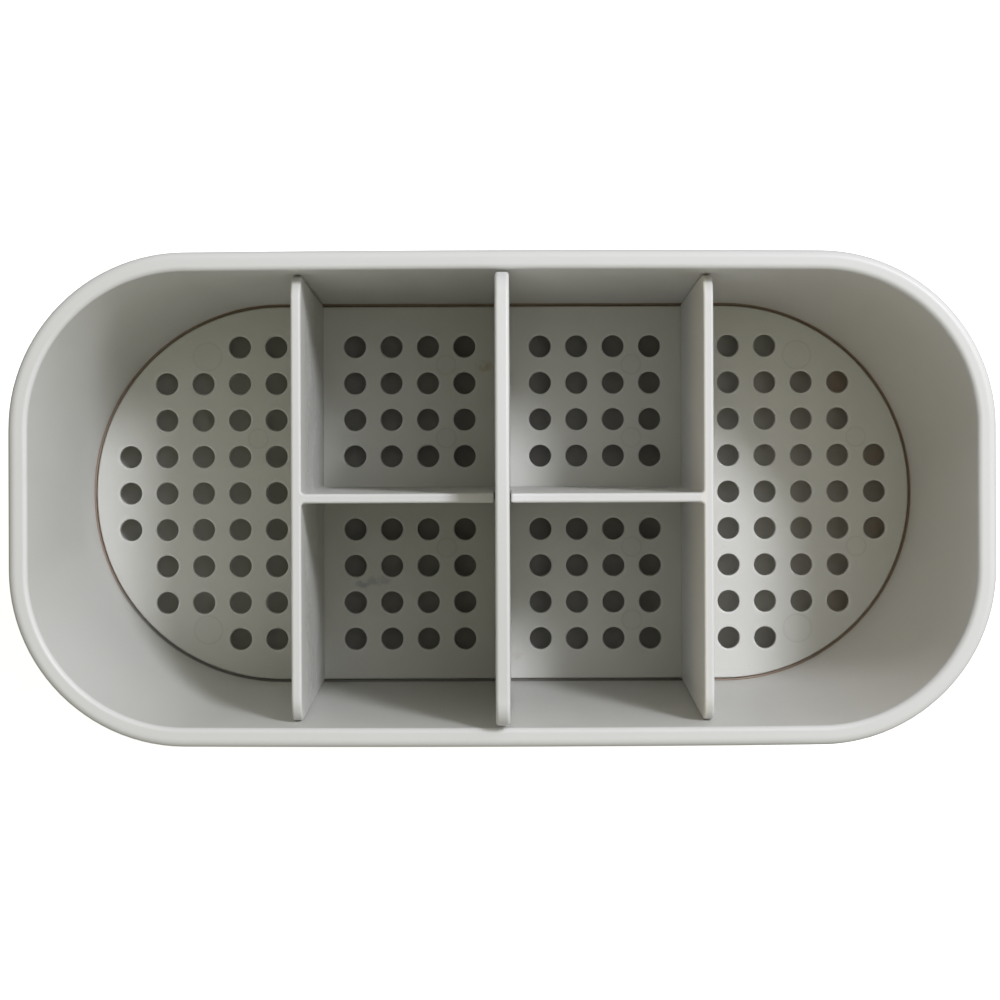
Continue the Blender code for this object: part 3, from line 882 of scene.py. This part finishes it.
@dataclass(frozen=True)
class Envelope:
    """The inner wall of the body, which every other piece is set out from."""

    rim_length: float = 0.3015
    rim_width: float = 0.150
    rim_corner: float = 0.053
    lip_width: float = 0.0060
    bow: float = 0.0009
    base: float = 0.0015
    floor_top: float = 0.0043
    tray_top: float = 0.0153
    rim_top: float = 0.1163
    tray_from_end: float = 0.01185
    tray_from_side: float = 0.0112
    tray_gap: float = 0.0009
    divider_spacing: float = 0.1266
    end_half_flat: float = 0.0005
    corner_steps: int = 26
    side_steps: int = 30

    @property
    def tray_half(self) -> tuple[float, float]:
        """Half the tray's length and width."""
        return self.rim_length / 2 - self.tray_from_end, self.rim_width / 2 - self.tray_from_side

    def oblong(self, half_length: Array, half_width: Array, corner: Array, bow: Array) -> Array:
        """Rectangles with round corners whose long sides bow out.

        A point is a corner's centre plus the corner's radius times a direction that turns evenly, and along a
        long side the centre slides from one corner to the next. It then moves out across the side by the bow
        times one less the square of its share of the half length.

        Args:
            half_length: Half the length of each rectangle.
            half_width: Half the width of each.
            corner: Corner radius of each.
            bow: How far the middle of each long side stands out.

        Returns:
            Points as rows by columns by two, anticlockwise from the right end.
        """
        turn = np.linspace(0, QUARTER, self.corner_steps + 1)
        slide = np.linspace(1, -1, self.side_steps + 1)[1:-1]
        still, level = np.ones_like(turn), np.ones_like(slide)
        angle = np.concatenate([turn, level * QUARTER, turn + QUARTER,
                                turn + 2 * QUARTER, level * 3 * QUARTER, turn + 3 * QUARTER])
        along = np.concatenate([still, slide, -still, -still, -slide, still])
        across = np.concatenate([still, level, still, -still, -level, -still])
        sizes = (half_length, half_width, corner, bow)
        half_length, half_width, corner, bow = (np.reshape(size, (-1, 1)) for size in sizes)
        x = along * (half_length - corner) + corner * np.cos(angle)
        y = across * (half_width - corner) + corner * np.sin(angle)
        return np.stack([x, y + bow * (1 - (x / half_length) ** 2) * y / half_width], axis=-1)

    def section(self, height: Union[float, Array]) -> tuple[Array, Array, Array, Array]:
        """The inner wall at each height.

        Every size runs evenly from the well that holds the tray to the mouth inside the rim.

        Args:
            height: Heights.

        Returns:
            Half length, half width, corner radius and bow, each an array.
        """
        share = (np.asarray(height, float) - self.tray_top) / (self.rim_top - self.tray_top)
        upper = np.maximum(share, 0)
        tray_length, tray_width = self.tray_half
        well_length, well_width = tray_length + self.tray_gap, tray_width + self.tray_gap
        half_length = well_length + (self.rim_length / 2 - self.lip_width - well_length) * share
        half_width = well_width + (self.rim_width / 2 - self.lip_width - well_width) * share
        well_radius = np.minimum(half_width, well_width) - self.end_half_flat
        corner = well_radius + (self.rim_corner - self.lip_width - well_radius) * upper
        return half_length, half_width, corner, self.bow * upper

    def rings(self, profile: Array) -> Array:
        """Rings round the caddy through a profile.

        Args:
            profile: Rows of distance outward from the inner wall, and height.

        Returns:
            Points as rows by columns by three.
        """
        outward, height = profile[:, 0], profile[:, 1]
        half_length, half_width, corner, bow = self.section(height)
        plan = self.oblong(half_length + outward, half_width + outward, corner + outward, bow)
        return np.concatenate([plan, np.broadcast_to(height[:, None, None], (*plan.shape[:2], 1))], axis=-1)

    def half_width_at(self, along: float, height: float) -> float:
        """Half the distance between the inner walls at a place.

        It is the half width, less what the round corner draws in, plus the bow.

        Args:
            along: The place along the caddy.
            height: Its height.

        Returns:
            Half the distance.
        """
        half_length, half_width, corner, bow = (float(size) for size in self.section(height))
        into_corner = max(along - (half_length - corner), 0.0)
        drawn_in = corner - math.sqrt(corner**2 - into_corner**2)
        return half_width - drawn_in + bow * (1 - (along / half_length) ** 2)

    def end_profile(self, foot: float, top: float, along: float, gap: float, corner: float, steps: int) -> Array:
        """The side view of an upright plate that spans the caddy.

        Its ends follow the body's walls at a gap, and circles round its upper corners.

        Args:
            foot: Height of its foot.
            top: Height of its top.
            along: Where it stands along the caddy.
            gap: Its clearance to each wall.
            corner: Radius of its upper corners.
            steps: Steps of each corner.

        Returns:
            Points across and up, from the right of the foot over the top to the left.
        """
        foot_half = self.half_width_at(along, foot) - gap
        top_half = self.half_width_at(along, top) - gap
        lean = math.atan2(top_half - foot_half, top - foot)
        centre = (top_half - corner * (1 + math.sin(lean)) / math.cos(lean), top - corner)
        right = np.vstack([[(foot_half, foot)], arc(centre, corner, -lean, QUARTER, steps)])
        return np.vstack([right, right[::-1] * (-1, 1)])


# ---------------------------------------------------------------- the pieces


@dataclass
class CaddyBody:
    """The body: one shell with a rolled rim, whose ends are full rounds at the floor."""

    envelope: Envelope
    wall: float = 0.0028
    lip_depth: float = 0.0085
    outer_round: float = 0.0025
    inner_round: float = 0.0015
    lip_edge: float = 0.0006
    lip_edge_steps: int = 4
    floor_round: float = 0.004
    base_round: float = 0.006
    step_drop: float = 0.0010
    step_width: float = 0.0006
    wall_rows: int = 22
    round_steps: int = 8
    crease: float = 0.0004
    fine: float = 0.0001
    soil_fade: float = 0.0006
    floor_shares: tuple[float, ...] = (0.0, 0.35, 0.70, 0.94, 0.985, 1.0)

    def profile(self) -> tuple[Array, Array, Array]:
        """The section of the wall, from the floor up the inside, over the rim and down to the base.

        Straight stretches join quarter circles, and a short stretch beside each keeps its shading to itself. Just
        below the tray's edge the wall steps in. The soil grows with the square of the height up to that step.

        Returns:
            Rows of distance outward and height, and for each row how much it is inside and soiled.
        """
        env, steps, crease, fine = self.envelope, self.round_steps, self.crease, self.fine
        top, lip, edge = env.rim_top, env.lip_width, self.lip_edge
        well, ledge, last = env.tray_top, env.tray_top - self.step_drop, top - self.inner_round
        floor_centre = (-self.step_width - self.floor_round, env.floor_top + self.floor_round)
        floor = arc(floor_centre, self.floor_round, -QUARTER, 0, steps)
        step = [(-self.step_width, ledge - crease), (-self.step_width, ledge - fine), (-crease, ledge),
                (-fine, ledge), (0, ledge + 2 * fine), (0, well - 3 * fine), (0, well + 2 * fine)]
        heights = np.linspace(well + 10 * fine, last - crease, self.wall_rows)
        inner = np.vstack([step, np.column_stack([heights * 0, heights])])
        inner_lip = arc((self.inner_round, last), self.inner_round, 2 * QUARTER, QUARTER, steps)
        outer_lip = arc((lip - self.outer_round, top - self.outer_round), self.outer_round, QUARTER, 0, steps)
        level = top - self.lip_depth
        under = arc((lip - edge, level + edge), edge, 0, -QUARTER, self.lip_edge_steps)
        nook = arc((self.wall + edge, level - edge), edge, QUARTER, 2 * QUARTER, self.lip_edge_steps)
        sides = np.linspace(level - 2 * edge - crease, env.base + self.base_round + crease, self.wall_rows)
        outer = np.column_stack([sides * 0 + self.wall, sides])
        base = arc((self.wall - self.base_round, env.base + self.base_round), self.base_round, 0, -QUARTER, steps)
        spacer = [(self.inner_round + 3 * fine, top), (lip - self.outer_round - 3 * fine, top)]
        above = [(lip, top - self.outer_round - crease), (lip, level + edge + crease)]
        rows = np.vstack([floor, inner, inner_lip, spacer, outer_lip, above, under, nook, outer, base])
        inside = (np.arange(len(rows)) < len(floor) + len(inner) + len(inner_lip)).astype(float)
        below_tray = np.clip((well + 2 * fine - rows[:, 1]) / self.soil_fade, 0, 1)
        up_to_ledge = np.clip((rows[:, 1] - env.floor_top) / (ledge - env.floor_top), 0, 1)
        return rows, inside, inside * below_tray * up_to_ledge**2

    def build(self) -> bpy.types.Object:
        """The wall's rings, and the floor and the base as the first and the last ring drawn in to a point.

        Returns:
            The body's object.
        """
        rows, inside, soiled = self.profile()
        rings = self.envelope.rings(rows)
        surface = Surface("inside", "soil")
        surface.grid(rings, inside=inside, soil=soiled)
        shares = np.array(self.floor_shares)[:, None, None]
        for ring, within in ((rings[0], 1.0), (rings[-1], 0.0)):
            spread = np.repeat(ring[None], len(shares), axis=0)
            spread[:, :, :2] *= shares
            surface.grid(spread, inside=within)
        return shown("body_shell", surface.mesh("body_shell"))

    def dress(self, finish: ShellPlastic) -> None:
        """Builds the body and puts it in its node's place."""
        fit(self.build(), "caddy_body", Body.CADDY, finish.material())


@dataclass
class Feet:
    """Four round rubber feet under the base."""

    envelope: Envelope
    from_end: float = 0.04085
    from_side: float = 0.0278
    radius: float = 0.0070
    edge: float = 0.0006
    edge_steps: int = 5
    top_gap: float = 0.00002
    top_ring: float = 0.9
    sole_ring: float = 0.8
    sides: int = 64

    def build(self, name: str, centre: Place) -> bpy.types.Object:
        """One foot: its profile turned round its own axis.

        Args:
            name: The piece's name.
            centre: Where it stands.

        Returns:
            The foot's object.
        """
        top = self.envelope.base - self.top_gap
        upper = [(0, top), (self.radius * self.top_ring, top), (self.radius, top)]
        round_edge = arc((self.radius - self.edge, self.edge), self.edge, 0, -QUARTER, self.edge_steps)
        profile = np.vstack([upper, round_edge, [(self.radius * self.sole_ring, 0), (0, 0)]])
        surface = Surface()
        surface.grid(spun(profile, centre, self.sides))
        return shown(name, surface.mesh(name))

    def dress(self, finish: FootRubber) -> None:
        """Builds the feet and puts each in its node's place.

        Args:
            finish: The feet's rubber.
        """
        material = finish.material()
        half_length, half_width = self.envelope.tray_half
        along, across = half_length - self.from_end, half_width - self.from_side
        for side, y in (("front", -across), ("rear", across)):
            for end, x in (("left", -along), ("right", along)):
                foot = self.build(f"rubber_foot_{side}_{end}", (x, y))
                fit(foot, f"foot_{side}_{end}", Body.CADDY, material)


@dataclass
class DrainTray:
    """The drain tray: a perforated plate with a skirt under its edge and four tapered legs."""

    envelope: Envelope
    thickness: float = 0.0025
    edge: float = 0.0005
    top_inset: float = 0.0012
    skirt_inset: float = 0.0012
    skirt_width: float = 0.0018
    skirt_depth: float = 0.0025
    seat_gap: float = 0.0003
    leg_from_end: float = 0.03805
    leg_from_side: float = 0.0170
    leg_top_radius: float = 0.0048
    leg_foot_radius: float = 0.0040
    leg_fillet: float = 0.0008
    fillet_bend: float = 0.25
    leg_sole: float = 0.0005
    sole_bend: float = 0.3
    sole_ring: float = 0.5
    hole_diameter: float = 0.0075
    hole_edge: float = 0.00035
    # How far from each hole's wall the ring of painted highlight reaches.
    painted_highlight: float = 0.0011
    holes_from_side: float = 0.0138
    end_holes_from_divider: float = 0.0140
    hole_margin: float = 0.0080
    cell_columns: int = 4
    rows_each_way: int = 4
    hole_sides: int = 28
    leg_sides: int = 40
    edge_steps: int = 4
    mouth_steps: int = 3
    edge_soil: tuple[float, ...] = (0.0, 0.0, 0.1, 0.4, 0.8, 1.0, 1.0, 1.0, 1.0, 1.0, 1.0)
    hole_top: tuple[float, ...] = (1.0, 1.0, 1.0, 0.0, 0.0, 0.0)
    hole_soil: tuple[float, ...] = (0.0, 0.0, 0.0, 0.0, 0.15, 0.5)
    hole_mouth: tuple[float, ...] = (0.0, 1.0, 1.0, 1.0, 0.4, 0.0)
    leg_soil: float = 0.5
    under_soil: float = 0.6

    @property
    def under(self) -> float:
        """Height of the plate's underside."""
        return self.envelope.tray_top - self.thickness

    @property
    def pitch(self) -> float:
        """The distance between neighbouring holes."""
        return (self.envelope.tray_half[1] - self.holes_from_side) / self.rows_each_way

    @property
    def leg_places(self) -> tuple[Place, ...]:
        """Where the legs stand.

        Returns:
            Their places, left before right and front before back.
        """
        half_length, half_width = self.envelope.tray_half
        along, across = half_length - self.leg_from_end, half_width - self.leg_from_side
        return tuple((x, y) for x in (-along, along) for y in (-across, across))

    @property
    def pin_places(self) -> tuple[Place, ...]:
        """Where the mould's ejector pins left round marks: midway between four holes, in rows of half a pitch.

        Returns:
            The places of the marks.
        """
        pitch, spacing = self.pitch, self.envelope.divider_spacing
        near, far = spacing / 4 - pitch, spacing / 4 + pitch
        end = spacing / 2 + self.end_holes_from_divider + pitch / 2
        pins = [(-end, 1.5), (-near, 3.5), (-near, 1.5), (far, 3.5), (far, 1.5), (-near, -1.5), (far, -1.5),
                (far, -3.5), (end + 3 * pitch, 1.5), (end + 3 * pitch, -1.5)]
        return tuple((x, row * pitch) for x, row in pins)

    def hole_places(self) -> Array:
        """Where the drain holes are.

        Each cell has four columns in its middle, with no hole under the long wall, and each end has as many
        columns at the same pitch as lie further inside the tray's edge than the margin.

        Returns:
            Rows of places.
        """
        half_length, half_width = self.envelope.tray_half
        pitch, spacing = self.pitch, self.envelope.divider_spacing
        levels = pitch * np.arange(-self.rows_each_way, self.rows_each_way + 1)
        cell = spacing / 4 + pitch * (np.arange(self.cell_columns) - (self.cell_columns - 1) / 2)
        end = np.arange(spacing / 2 + self.end_holes_from_divider, half_length - self.hole_margin, pitch)
        cell_grid = np.array([(x, y) for x in cell for y in levels if abs(y) > pitch / 2])
        end_grid = np.array([(x, y) for x in end for y in levels])
        reach = np.hypot(np.maximum(end_grid[:, 0] - (half_length - half_width), 0), end_grid[:, 1])
        right = np.vstack([cell_grid, end_grid[half_width - reach > self.hole_margin]])
        return np.vstack([right, right * (-1, 1)])

    def outline(self, inset: float) -> Array:
        """The tray's outline drawn in.

        Args:
            inset: How far.

        Returns:
            Points, anticlockwise.
        """
        half_length, half_width = self.envelope.tray_half
        corner = half_width - self.envelope.end_half_flat - inset
        return self.envelope.oblong(half_length - inset, half_width - inset, corner, 0.0)[0]

    def edge_rows(self) -> Array:
        """The section of the tray's edge, from the top round the edge and the skirt to the underside.

        Returns:
            Rows of inset and height.
        """
        top, under = self.envelope.tray_top, self.under
        foot = under - self.skirt_depth
        inner = self.skirt_inset + self.skirt_width
        upper = arc((self.edge, top - self.edge), self.edge, QUARTER, 2 * QUARTER, self.edge_steps)
        return np.array([(self.top_inset, top), *upper, (0, under), (self.skirt_inset, under),
                         (self.skirt_inset, foot), (inner, foot), (inner, under)])

    def holes(self, surface: Surface) -> tuple[list[Array], list[Array]]:
        """Adds the walls of the drain holes, each with a round mouth and a ring about it that carries a painted
        highlight.

        Args:
            surface: What they are added to.

        Returns:
            The outlines that they leave in the top and in the underside.
        """
        top, radius = self.envelope.tray_top, self.hole_diameter / 2
        mouth = arc((radius + self.hole_edge, top - self.hole_edge), self.hole_edge, QUARTER, 2 * QUARTER,
                    self.mouth_steps)
        section = np.vstack([[(radius + self.painted_highlight, top)], mouth, [(radius, self.under)]])
        tops, unders = [], []
        for place in self.hole_places():
            rings = spun(section, place, self.hole_sides)
            surface.grid(rings, top=self.hole_top, soil=self.hole_soil, mouth=self.hole_mouth)
            tops.append(rings[0, :, :2])
            unders.append(rings[-1, :, :2])
        return tops, unders

    def legs(self, surface: Surface) -> list[Array]:
        """Adds the legs, each with a fillet at the plate and a round sole.

        Args:
            surface: What they are added to.

        Returns:
            The outlines that they leave in the underside.
        """
        under, foot = self.under, self.envelope.floor_top + self.seat_gap
        wide, narrow, fillet, sole = self.leg_top_radius, self.leg_foot_radius, self.leg_fillet, self.leg_sole
        nook, bend = self.fillet_bend * fillet, self.sole_bend * sole
        section = np.array([(wide + fillet, under), (wide + nook, under - nook), (wide, under - fillet),
                            (narrow, foot + sole), (narrow - bend, foot + bend), (narrow - sole, foot),
                            (narrow * self.sole_ring, foot), (0, foot)])
        unders = []
        for place in self.leg_places:
            rings = spun(section, place, self.leg_sides)
            surface.grid(rings, soil=self.leg_soil)
            unders.append(rings[0, :, :2])
        return unders

    def build(self) -> bpy.types.Object:
        """The tray's edge, holes and legs, with a level face over and under them.

        Returns:
            The tray's object.
        """
        top = self.envelope.tray_top
        surface = Surface("top", "soil", "mouth")
        rows = self.edge_rows()
        rings = np.stack([at_height(self.outline(inset), height) for inset, height in rows])
        surface.grid(rings, soil=self.edge_soil, top=(rows[:, 1] > top - self.edge / 2).astype(float))
        tops, unders = self.holes(surface)
        unders += self.legs(surface)
        surface.cap([self.outline(rows[0, 0])] + tops, top, top=1.0)
        surface.cap([self.outline(rows[-1, 0])] + unders, self.under, soil=self.under_soil)
        return shown("perforated_tray", surface.mesh("perforated_tray"))

    def dress(self, finish: TrayPlastic) -> None:
        """Builds the tray and puts it in its node's place."""
        fit(self.build(), "drain_tray", Body.TRAY, finish.material())


@dataclass
class Dividers:
    """What both dividers share."""

    envelope: Envelope
    seat_gap: float = 0.0003
    draft: float = 0.0006
    long_wall: float = 0.0029
    slot_height: float = 0.046
    edge_segments: int = 4

    @property
    def foot(self) -> float:
        """Height of the dividers' feet."""
        return self.envelope.tray_top + self.seat_gap

    @property
    def slot_top(self) -> float:
        """Height of the closed end of the centre divider's slot."""
        return self.foot + self.slot_height


@dataclass
class DividerFrame(Dividers):
    """The divider frame: two cross walls and the long wall between them, in one moulding."""

    height: float = 0.0947
    cross_wall: float = 0.0031
    fillet: float = 0.0012
    corner: float = 0.008
    gap: float = 0.0003
    edge: float = 0.0008
    fillet_steps: int = 6
    corner_steps: int = 14
    notch_half: float = 0.0026
    overrun: float = 0.002
    trim_reach: float = 0.1

    def plan(self, growth: float) -> Array:
        """The frame's outline in plan.

        A quarter of it is two sides and a quarter-circle fillet, and mirroring gives the rest.

        Args:
            growth: How far each face stands out from where it is at the top.

        Returns:
            Points, anticlockwise.
        """
        spacing = self.envelope.divider_spacing
        inner = spacing / 2 - self.cross_wall / 2 - growth
        outer = spacing / 2 + self.cross_wall / 2 + growth
        face = self.long_wall / 2 + growth
        reach = self.envelope.rim_width / 2
        fillet = arc((inner - self.fillet, face + self.fillet), self.fillet, 0, -QUARTER, self.fillet_steps)
        quarter = np.vstack([[(outer, reach), (inner, reach)], fillet])
        return np.vstack([quarter, quarter[::-1] * (-1, 1), quarter * (-1, -1), quarter[::-1] * (1, -1)])

    def build(self) -> bpy.types.Object:
        """The frame's plan drawn up past its top, trimmed to the body's walls and notched.

        Returns:
            The frame's object.
        """
        top = self.envelope.tray_top + self.height
        past_top = top + self.overrun
        piece = prism("divider_walls", at_height(self.plan(self.draft), self.foot),
                      at_height(self.plan(0.0), past_top))
        outer_face = self.envelope.divider_spacing / 2 + self.cross_wall / 2 + self.draft
        side = self.envelope.end_profile(self.foot - self.overrun, top, outer_face, self.gap, self.corner,
                                         self.corner_steps)
        spread = np.column_stack([side[:, 0] * 0, side])
        trim = prism("trim", spread - (self.trim_reach, 0, 0), spread + (self.trim_reach, 0, 0))
        combined(piece, Cut.TRIM, trim)
        reach = self.long_wall / 2 + self.draft + self.overrun
        square = np.array([(-1, -1), (1, -1), (1, 1), (-1, 1)]) * (self.notch_half, reach)
        notch = prism("notch", at_height(square, self.slot_top - self.seat_gap), at_height(square, past_top))
        combined(piece, Cut.REMOVE, notch)
        rounded(piece, self.edge, self.edge_segments)
        return piece

    def dress(self, material: bpy.types.Material) -> None:
        """Builds the frame and puts it in its node's place."""
        fit(self.build(), "divider_frame", Body.FRAME, material)


@dataclass
class CentreDivider(Dividers):
    """The centre divider: a plate with an arched top and a slot that straddles the frame's long wall."""

    thickness: float = 0.0042
    slot_clearance: float = 0.0003
    end_rise: float = 0.010
    middle_rise: float = 0.018
    corner: float = 0.0086
    gap: float = 0.0011
    edge: float = 0.0010
    corner_steps: int = 14
    arch_steps: int = 48

    def outline(self) -> Array:
        """The side view of the divider.

        Its top rises from the round corners to the middle by a cosine of its share of the half width.

        Returns:
            Points across and up, anticlockwise.
        """
        top = self.envelope.rim_top + self.end_rise
        side = self.envelope.end_profile(self.foot, top, 0.0, self.gap, self.corner, self.corner_steps)
        half = len(side) // 2
        crown = side[half - 1, 0]
        across = np.linspace(crown, -crown, self.arch_steps + 1)[1:-1]
        rise = (self.middle_rise - self.end_rise) * np.cos(QUARTER * across / crown)
        slot = self.long_wall / 2 + self.draft + self.slot_clearance
        notch = [(-slot, self.foot), (-slot, self.slot_top), (slot, self.slot_top), (slot, self.foot)]
        return np.vstack([side[:half], np.column_stack([across, top + rise]), side[half:], notch])

    def build(self) -> bpy.types.Object:
        """The divider's side view carried through its thickness, which grows towards the foot.

        Returns:
            The divider's object.
        """
        side = self.outline()
        peak = self.envelope.rim_top + self.middle_rise
        half = self.thickness / 2 + self.draft * (peak - side[:, 1]) / (peak - self.foot)
        piece = prism("centre_plate", np.column_stack([-half, side]), np.column_stack([half, side]))
        rounded(piece, self.edge, self.edge_segments)
        return piece

    def dress(self, material: bpy.types.Material) -> None:
        """Builds the divider and puts it in its node's place."""
        fit(self.build(), "centre_divider", Body.CENTRE, material)


# ---------------------------------------------------------------- the studio


@dataclass(frozen=True)
class SoftLamp:
    """A softbox with a round or oval face, turned towards the caddy."""

    name: str
    place: Point
    size: tuple[float, float]
    power: float
    colour: Colour = (0.965, 0.980, 1.065)

    def hang(self) -> None:
        """Adds the lamp to the scene."""
        light = bpy.data.lights.new(self.name, "AREA")
        light.shape = "ELLIPSE"
        light.size, light.size_y = self.size
        light.energy = self.power
        light.color = self.colour
        lamp = bpy.data.objects.new(self.name, light)
        bpy.context.scene.collection.objects.link(lamp)
        lamp.location = self.place
        lamp.rotation_euler = (-Vector(self.place)).to_track_quat("-Z", "Y").to_euler()


@dataclass
class Studio:
    """The paper sweep, the lamps, the pale surroundings and the camera straight above."""

    envelope: Envelope
    focal_pixels: float = 2630.0
    image_pixels: float = 1000.0
    sensor_mm: float = 36.0
    above_rim: float = 0.800
    axis_pixel: Place = (504.0, 444.0)
    tray_pixel: Place = (502.4, 492.4)
    roll_degrees: float = 0.2
    lamps: tuple[SoftLamp, ...] = (SoftLamp("softbox", (0.905, 0.771, 1.65), (0.46, 0.32), 24.0),
                                   SoftLamp("window", (1.1, 0.6, 1.6), (2.3, 2.3), 9.3))
    sky_strength: float = 0.33
    high_colour: Colour = (1.0, 0.975, 0.690)
    low_colour: Colour = (1.0, 0.998, 0.970)
    high: Range = (0.3, 0.8)
    low: Range = (0.10, 0.45)
    horizon: Range = (-0.05, 0.15)
    sky_tilt: tuple[float, float] = (0.3, -0.1)
    low_gain: float = 0.8
    ground_strength: float = 0.30
    sweep_flat: float = 1.2
    sweep_round: float = 0.8
    sweep_height: float = 3.0
    sweep_steps: int = 12
    sweep_sides: int = 96

    def camera(self) -> None:
        """A camera that looks straight down.

        Its place over the tray is the distance in pixels between its axis and the tray's middle, over the
        pixels per metre in the plane of the tray.
        """
        scale = self.focal_pixels / (self.above_rim + self.envelope.rim_top - self.envelope.tray_top)
        lens = bpy.data.cameras.new("overhead")
        lens.sensor_width = self.sensor_mm
        lens.lens = self.sensor_mm * self.focal_pixels / self.image_pixels
        lens.shift_x = 0.5 - self.axis_pixel[0] / self.image_pixels
        lens.shift_y = self.axis_pixel[1] / self.image_pixels - 0.5
        camera = bpy.data.objects.new("overhead", lens)
        bpy.context.scene.collection.objects.link(camera)
        across = (self.axis_pixel[0] - self.tray_pixel[0]) / scale
        back = (self.tray_pixel[1] - self.axis_pixel[1]) / scale
        camera.location = (across, back, self.envelope.rim_top + self.above_rim)
        camera.rotation_euler = (0, 0, -math.radians(self.roll_degrees))
        bpy.context.scene.camera = camera

    def sky(self) -> None:
        """Soft light from all round: warm from above, plain from the sides and faint from below."""
        board = Board(bpy.data.worlds.new("studio"), "Background", "Generated")
        colour = board.tint(self.low_colour, self.high_colour, board.z.ramp(*self.high))
        low = 1 - board.z.ramp(*self.low)
        tilt_x, tilt_y = self.sky_tilt
        above = self.sky_strength * (1 + board.x * tilt_x + board.y * tilt_y + low * self.low_gain)
        over = board.z.ramp(*self.horizon)
        board.feed(board.shader.inputs["Color"], colour)
        board.feed(board.shader.inputs["Strength"], above * over + self.ground_strength * (1 - over))
        bpy.context.scene.world = board.owner

    def sweep(self, finish: StudioPaper) -> None:
        """The paper that the caddy stands on, which turns up all round as a studio sweep does.

        It is a level line, a quarter circle and an upright line, turned round the caddy. It is there for the
        camera alone: the surroundings light the caddy through it.

        Args:
            finish: The paper's finish.
        """
        turned = arc((self.sweep_flat, self.sweep_round), self.sweep_round, -QUARTER, 0, self.sweep_steps)
        profile = np.vstack([[(0, 0)], turned, [(self.sweep_flat + self.sweep_round, self.sweep_height)]])
        surface = Surface()
        surface.grid(spun(profile, (0.0, 0.0), self.sweep_sides))
        paper = shown("studio_sweep", surface.mesh("studio_sweep"))
        paper.data.materials.append(finish.material())
        paper.visible_diffuse = paper.visible_glossy = paper.visible_shadow = False

    def set_up(self, paper: StudioPaper) -> None:
        """Makes the whole studio, whose colours are shown without a film curve.

        Args:
            paper: The finish of the sweep.
        """
        bpy.context.scene.view_settings.view_transform = "Standard"
        self.camera()
        for lamp in self.lamps:
            lamp.hang()
        self.sky()
        self.sweep(paper)
        log.info("studio: %d lamps, the surroundings, the paper sweep and the camera", len(self.lamps))


# -------------------------------------------------------------------- making


@dataclass(frozen=True)
class Finishes:
    """Every finish of the caddy."""

    shell: ShellPlastic = ShellPlastic("shell_satin", (0.660, 0.657, 0.632))
    divider: DividerPlastic = DividerPlastic("divider_satin", (0.664, 0.660, 0.634))
    rubber: FootRubber = FootRubber("foot_matte", (0.150, 0.148, 0.140), (0.300, 0.295, 0.280))
    paper: StudioPaper = StudioPaper("studio_paper", (0.93, 0.93, 0.93), 0.75)
    tray_colour: Colour = (0.672, 0.669, 0.633)

    def tray(self, tray: DrainTray) -> TrayPlastic:
        """The tray's finish, with round marks where its legs and the mould's ejector pins are."""
        return TrayPlastic("tray_satin", self.tray_colour, leg_marks=tray.leg_places,
                           leg_radius=tray.leg_top_radius, pin_marks=tray.pin_places)


def main() -> None:
    """Builds the studio, then the body, its feet, the tray and the dividers."""
    logging.basicConfig(level=logging.INFO, format="%(name)s: %(message)s", stream=sys.stdout)
    envelope = Envelope()
    finishes = Finishes()
    Studio(envelope).set_up(finishes.paper)
    CaddyBody(envelope).dress(finishes.shell)
    Feet(envelope).dress(finishes.rubber)
    tray = DrainTray(envelope)
    tray.dress(finishes.tray(tray))
    plastic = finishes.divider.material()
    DividerFrame(envelope).dress(plastic)
    CentreDivider(envelope).dress(plastic)


if __name__ == "__main__":
    main()
